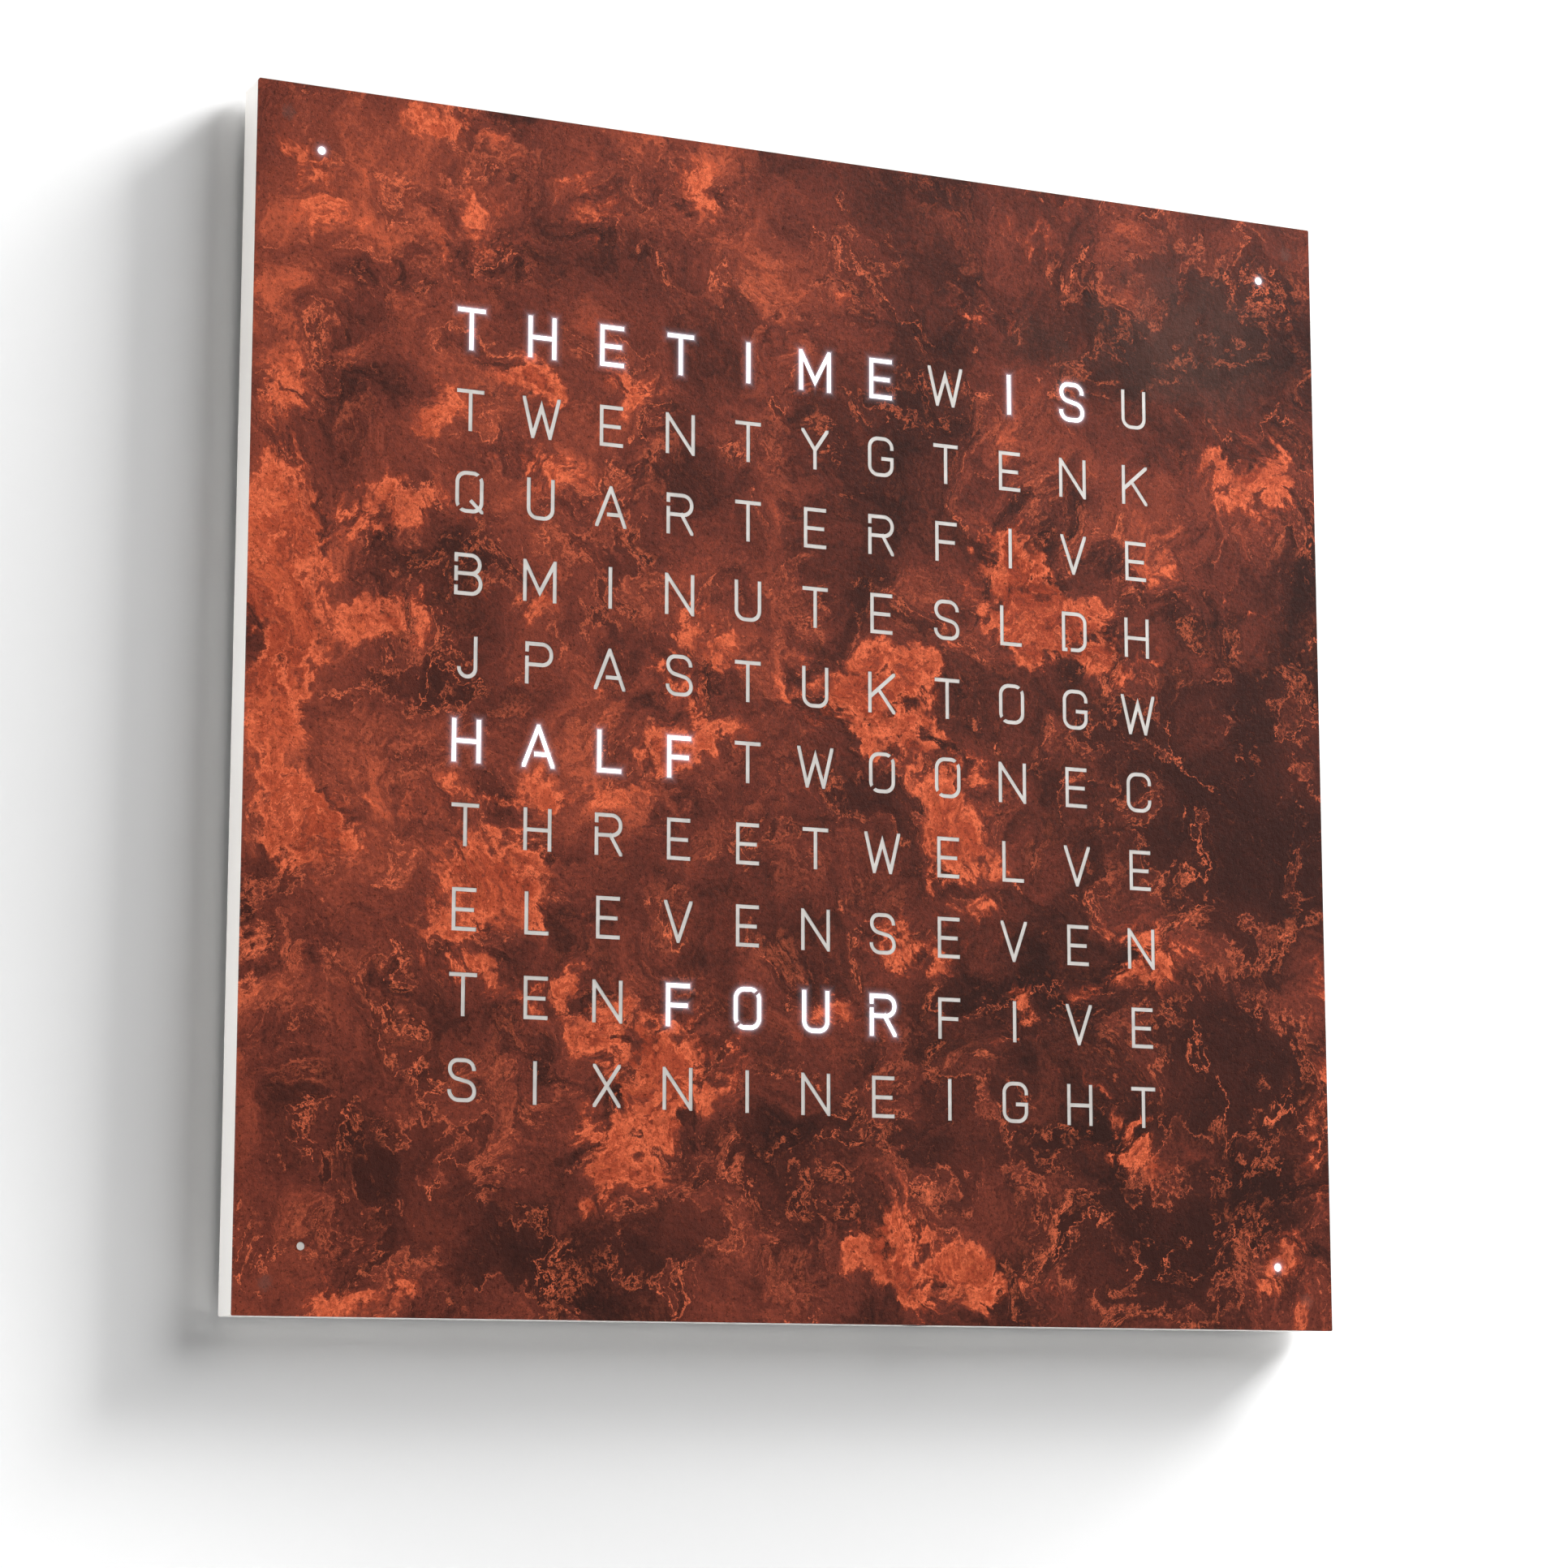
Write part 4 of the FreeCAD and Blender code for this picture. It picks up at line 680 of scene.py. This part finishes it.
# Lamps that point at the face's centre: the place from there and the size in metres, and the power
# in watts. Two keys come from the upper right, the low one close to the wall. Two strips light the
# case's left side and its underside, and the last lamp lights its back.
LAMPS = {
    "key": ((1.6, -1.95, 1.4), (1.5, 1.5), 49),
    "low_key": ((2.7, -0.78, 2.25), (1.5, 1.4), 350),
    "side": ((-2.4, -0.07, 0.0), (0.12, 1.4), 30),
    "under": ((0.0, -0.17, -2.2), (1.4, 0.28), 8),
    "back": ((0.1, 3.1, 0.3), (1.0, 1.0), 92),
}
# The world's light on the object. The camera, mirrors and clear pieces see it at full strength.
WORLD_FILL = 0.04


def area_light(name, offset, size, power):
    data = bpy.data.lights.new(name, "AREA")
    data.shape = "RECTANGLE"
    data.size, data.size_y = size
    data.energy = power
    lamp = bpy.data.objects.new(name, data)
    place = FACE_CENTRE + Vector(offset)
    lamp.location = place
    lamp.rotation_euler = (FACE_CENTRE - place).to_track_quat("-Z", "Y").to_euler()
    bpy.context.scene.collection.objects.link(lamp)
    return lamp


def keep_off(lamp, name):
    """Keep a lamp's light off one node, which still casts its shadow."""
    shaded = bpy.data.collections.new(f"{lamp.name}_shaded")
    shaded.objects.link(NODES[name])
    lamp.light_linking.receiver_collection = shaded
    shaded.collection_objects[0].light_linking.link_state = "EXCLUDE"


def make_light():
    lamps = {name: area_light(name, *facts) for name, facts in LAMPS.items()}
    # The low key would burn out the two white sides that face it
    keep_off(lamps["low_key"], "case_body")
    world = bpy.data.worlds.new("studio")
    bpy.context.scene.world = world
    world.use_nodes = True
    tree = world.node_tree
    background = tree.nodes["Background"]
    background.inputs["Color"].default_value = (1, 1, 1, 1)
    seen = ray_share(tree, "Is Camera Ray", "Is Glossy Ray", "Is Transmission Ray")
    level = tree.nodes.new("ShaderNodeMath")
    level.operation = "MAXIMUM"
    level.inputs[1].default_value = WORLD_FILL
    tree.links.new(seen, level.inputs[0])
    tree.links.new(level.outputs[0], background.inputs["Strength"])


def ray_share(tree, *kinds):
    """The highest of these outputs of the light path, such as 1 for a ray of any of these kinds."""
    light_path = tree.nodes.new("ShaderNodeLightPath")
    total = None
    for kind in kinds:
        if total is None:
            total = light_path.outputs[kind]
            continue
        joined = tree.nodes.new("ShaderNodeMath")
        joined.operation = "MAXIMUM"
        tree.links.new(total, joined.inputs[0])
        tree.links.new(light_path.outputs[kind], joined.inputs[1])
        total = joined.outputs[0]
    return total


# The wall and the floor in metres: the wall's place in Y, their half width, and the lowest and
# highest place
WALL_PLACE = 0.0006
STAGE_WIDE = 3.0
STAGE_LOW = -2.8
STAGE_HIGH = 3.0
WALL_COLOUR = (0.93, 0.93, 0.93, 1)
FLOOR_COLOUR = (0.8, 0.8, 0.8, 1)
# How much they glow for the camera: the first share up to the first distance in metres from the
# face's centre, and the second share from the second distance on
WALL_GLOW = (0.0, 0.24)
FLOOR_GLOW = (0.2, 0.2)
STAGE_GLOW_REACH = (0.29, 0.46)


def stage_plane(name, corners, colour, glow, one_sided):
    """A matt plane that keeps the object's shadow and, if one sided, is clear from behind."""
    mesh = bpy.data.meshes.new(name)
    mesh.from_pydata(corners, [], [(0, 1, 2, 3)])
    plane = bpy.data.objects.new(name, mesh)
    bpy.context.scene.collection.objects.link(plane)
    shader = Shader(name)
    near, far = glow
    away = shader.vector("DISTANCE", shader.place, tuple(FACE_CENTRE))
    level = shader.add(near, shader.times(shader.step(away, *STAGE_GLOW_REACH), far - near))
    shader.set(
        Base_Color=colour,
        Roughness=0.9,
        Specular_IOR_Level=0.0,
        Emission_Color=(1, 1, 1, 1),
        Emission_Strength=shader.times(ray_share(shader.tree, "Is Camera Ray"), level),
    )
    if one_sided:
        back = shader.node("ShaderNodeNewGeometry").outputs["Backfacing"]
        first = shader.math("LESS_THAN", ray_share(shader.tree, "Diffuse Depth"), 0.5)
        shadow = shader.times(ray_share(shader.tree, "Is Shadow Ray"), first)
        seen_through = shader.math("MAXIMUM", back, shadow)
        mixed = shader.node("ShaderNodeMixShader")
        shader.put(mixed.inputs[0], seen_through)
        shader.put(mixed.inputs[1], shader.surface.outputs[0])
        shader.put(mixed.inputs[2], shader.node("ShaderNodeBsdfTransparent").outputs[0])
        shader.put(shader.output.inputs["Surface"], mixed.outputs[0])
    mesh.materials.append(shader.material)


def make_stage():
    across = (-STAGE_WIDE, STAGE_WIDE)
    foot = [(x, WALL_PLACE, STAGE_LOW) for x in across]
    head = [(x, WALL_PLACE, STAGE_HIGH) for x in reversed(across)]
    front = [(x, -STAGE_WIDE, STAGE_LOW) for x in across]
    stage_plane("wall", foot + head, WALL_COLOUR, WALL_GLOW, True)
    stage_plane("floor", front + foot[::-1], FLOOR_COLOUR, FLOOR_GLOW, False)


def dress_everything():
    rust_material()
    lacquer_material()
    inlay_materials()
    simple("opal_sheet", linear(226, 226, 224), 0.45, ["diffuser_sheet"], spread=0.03)
    galvanised_material()
    simple(
        "zinc_screw",
        linear(190, 194, 200),
        0.3,
        ["hanger_screws", "grid_screws", "controller_screws"],
        metallic=0.95,
        scale=500,
    )
    simple(
        "plain_steel",
        linear(180, 180, 182),
        0.32,
        ["cover_studs", "coin_cell"],
        metallic=0.95,
        scale=500,
    )
    simple(
        "nickel",
        linear(205, 204, 200),
        0.18,
        ["ring_magnets"],
        metallic=0.95,
        scale=400,
        spread=0.05,
    )
    simple(
        "black_plastic",
        linear(30, 30, 31),
        0.5,
        ["light_grid", "corner_light_cups", "lead_sockets", "cell_holder", "dc_inlet", "flex_sockets"],
    )
    board_material()
    simple("led_body", linear(232, 228, 200), 0.35, ["matrix_leds", "corner_leds"], scale=800)
    simple(
        "moulded_black",
        linear(26, 26, 28),
        0.42,
        [
            "microcontroller",
            "led_drivers",
            "voltage_regulator",
            "light_sensor",
            "hour_plunger",
            "minute_plunger",
            "light_plunger",
        ],
        scale=900,
    )
    simple(
        "metal_can",
        linear(200, 201, 203),
        0.28,
        ["clock_crystal", "reservoir_capacitor", "tact_switches"],
        metallic=0.9,
        scale=500,
    )
    simple("lead_insulation", linear(150, 150, 152), 0.5, ["corner_leads"])
    simple("flat_cable", linear(222, 226, 232), 0.4, ["flex_cable"])
    simple(
        "button_white",
        linear(222, 220, 216),
        0.4,
        ["hour_button", "minute_button", "light_button"],
        spread=0.03,
    )
    simple("clear_pipe", linear(214, 220, 224), 0.12, ["light_pipe"], spread=0.03)
    simple("contact_brass", linear(212, 180, 110), 0.25, ["inlet_pin"], metallic=0.95)
    simple("spacer_rubber", linear(30, 30, 30), 0.75, ["wall_spacers"])


make_camera()
make_stage()
make_light()
dress_everything()
make_glow()

scene = bpy.context.scene
scene.view_settings.view_transform = "Standard"
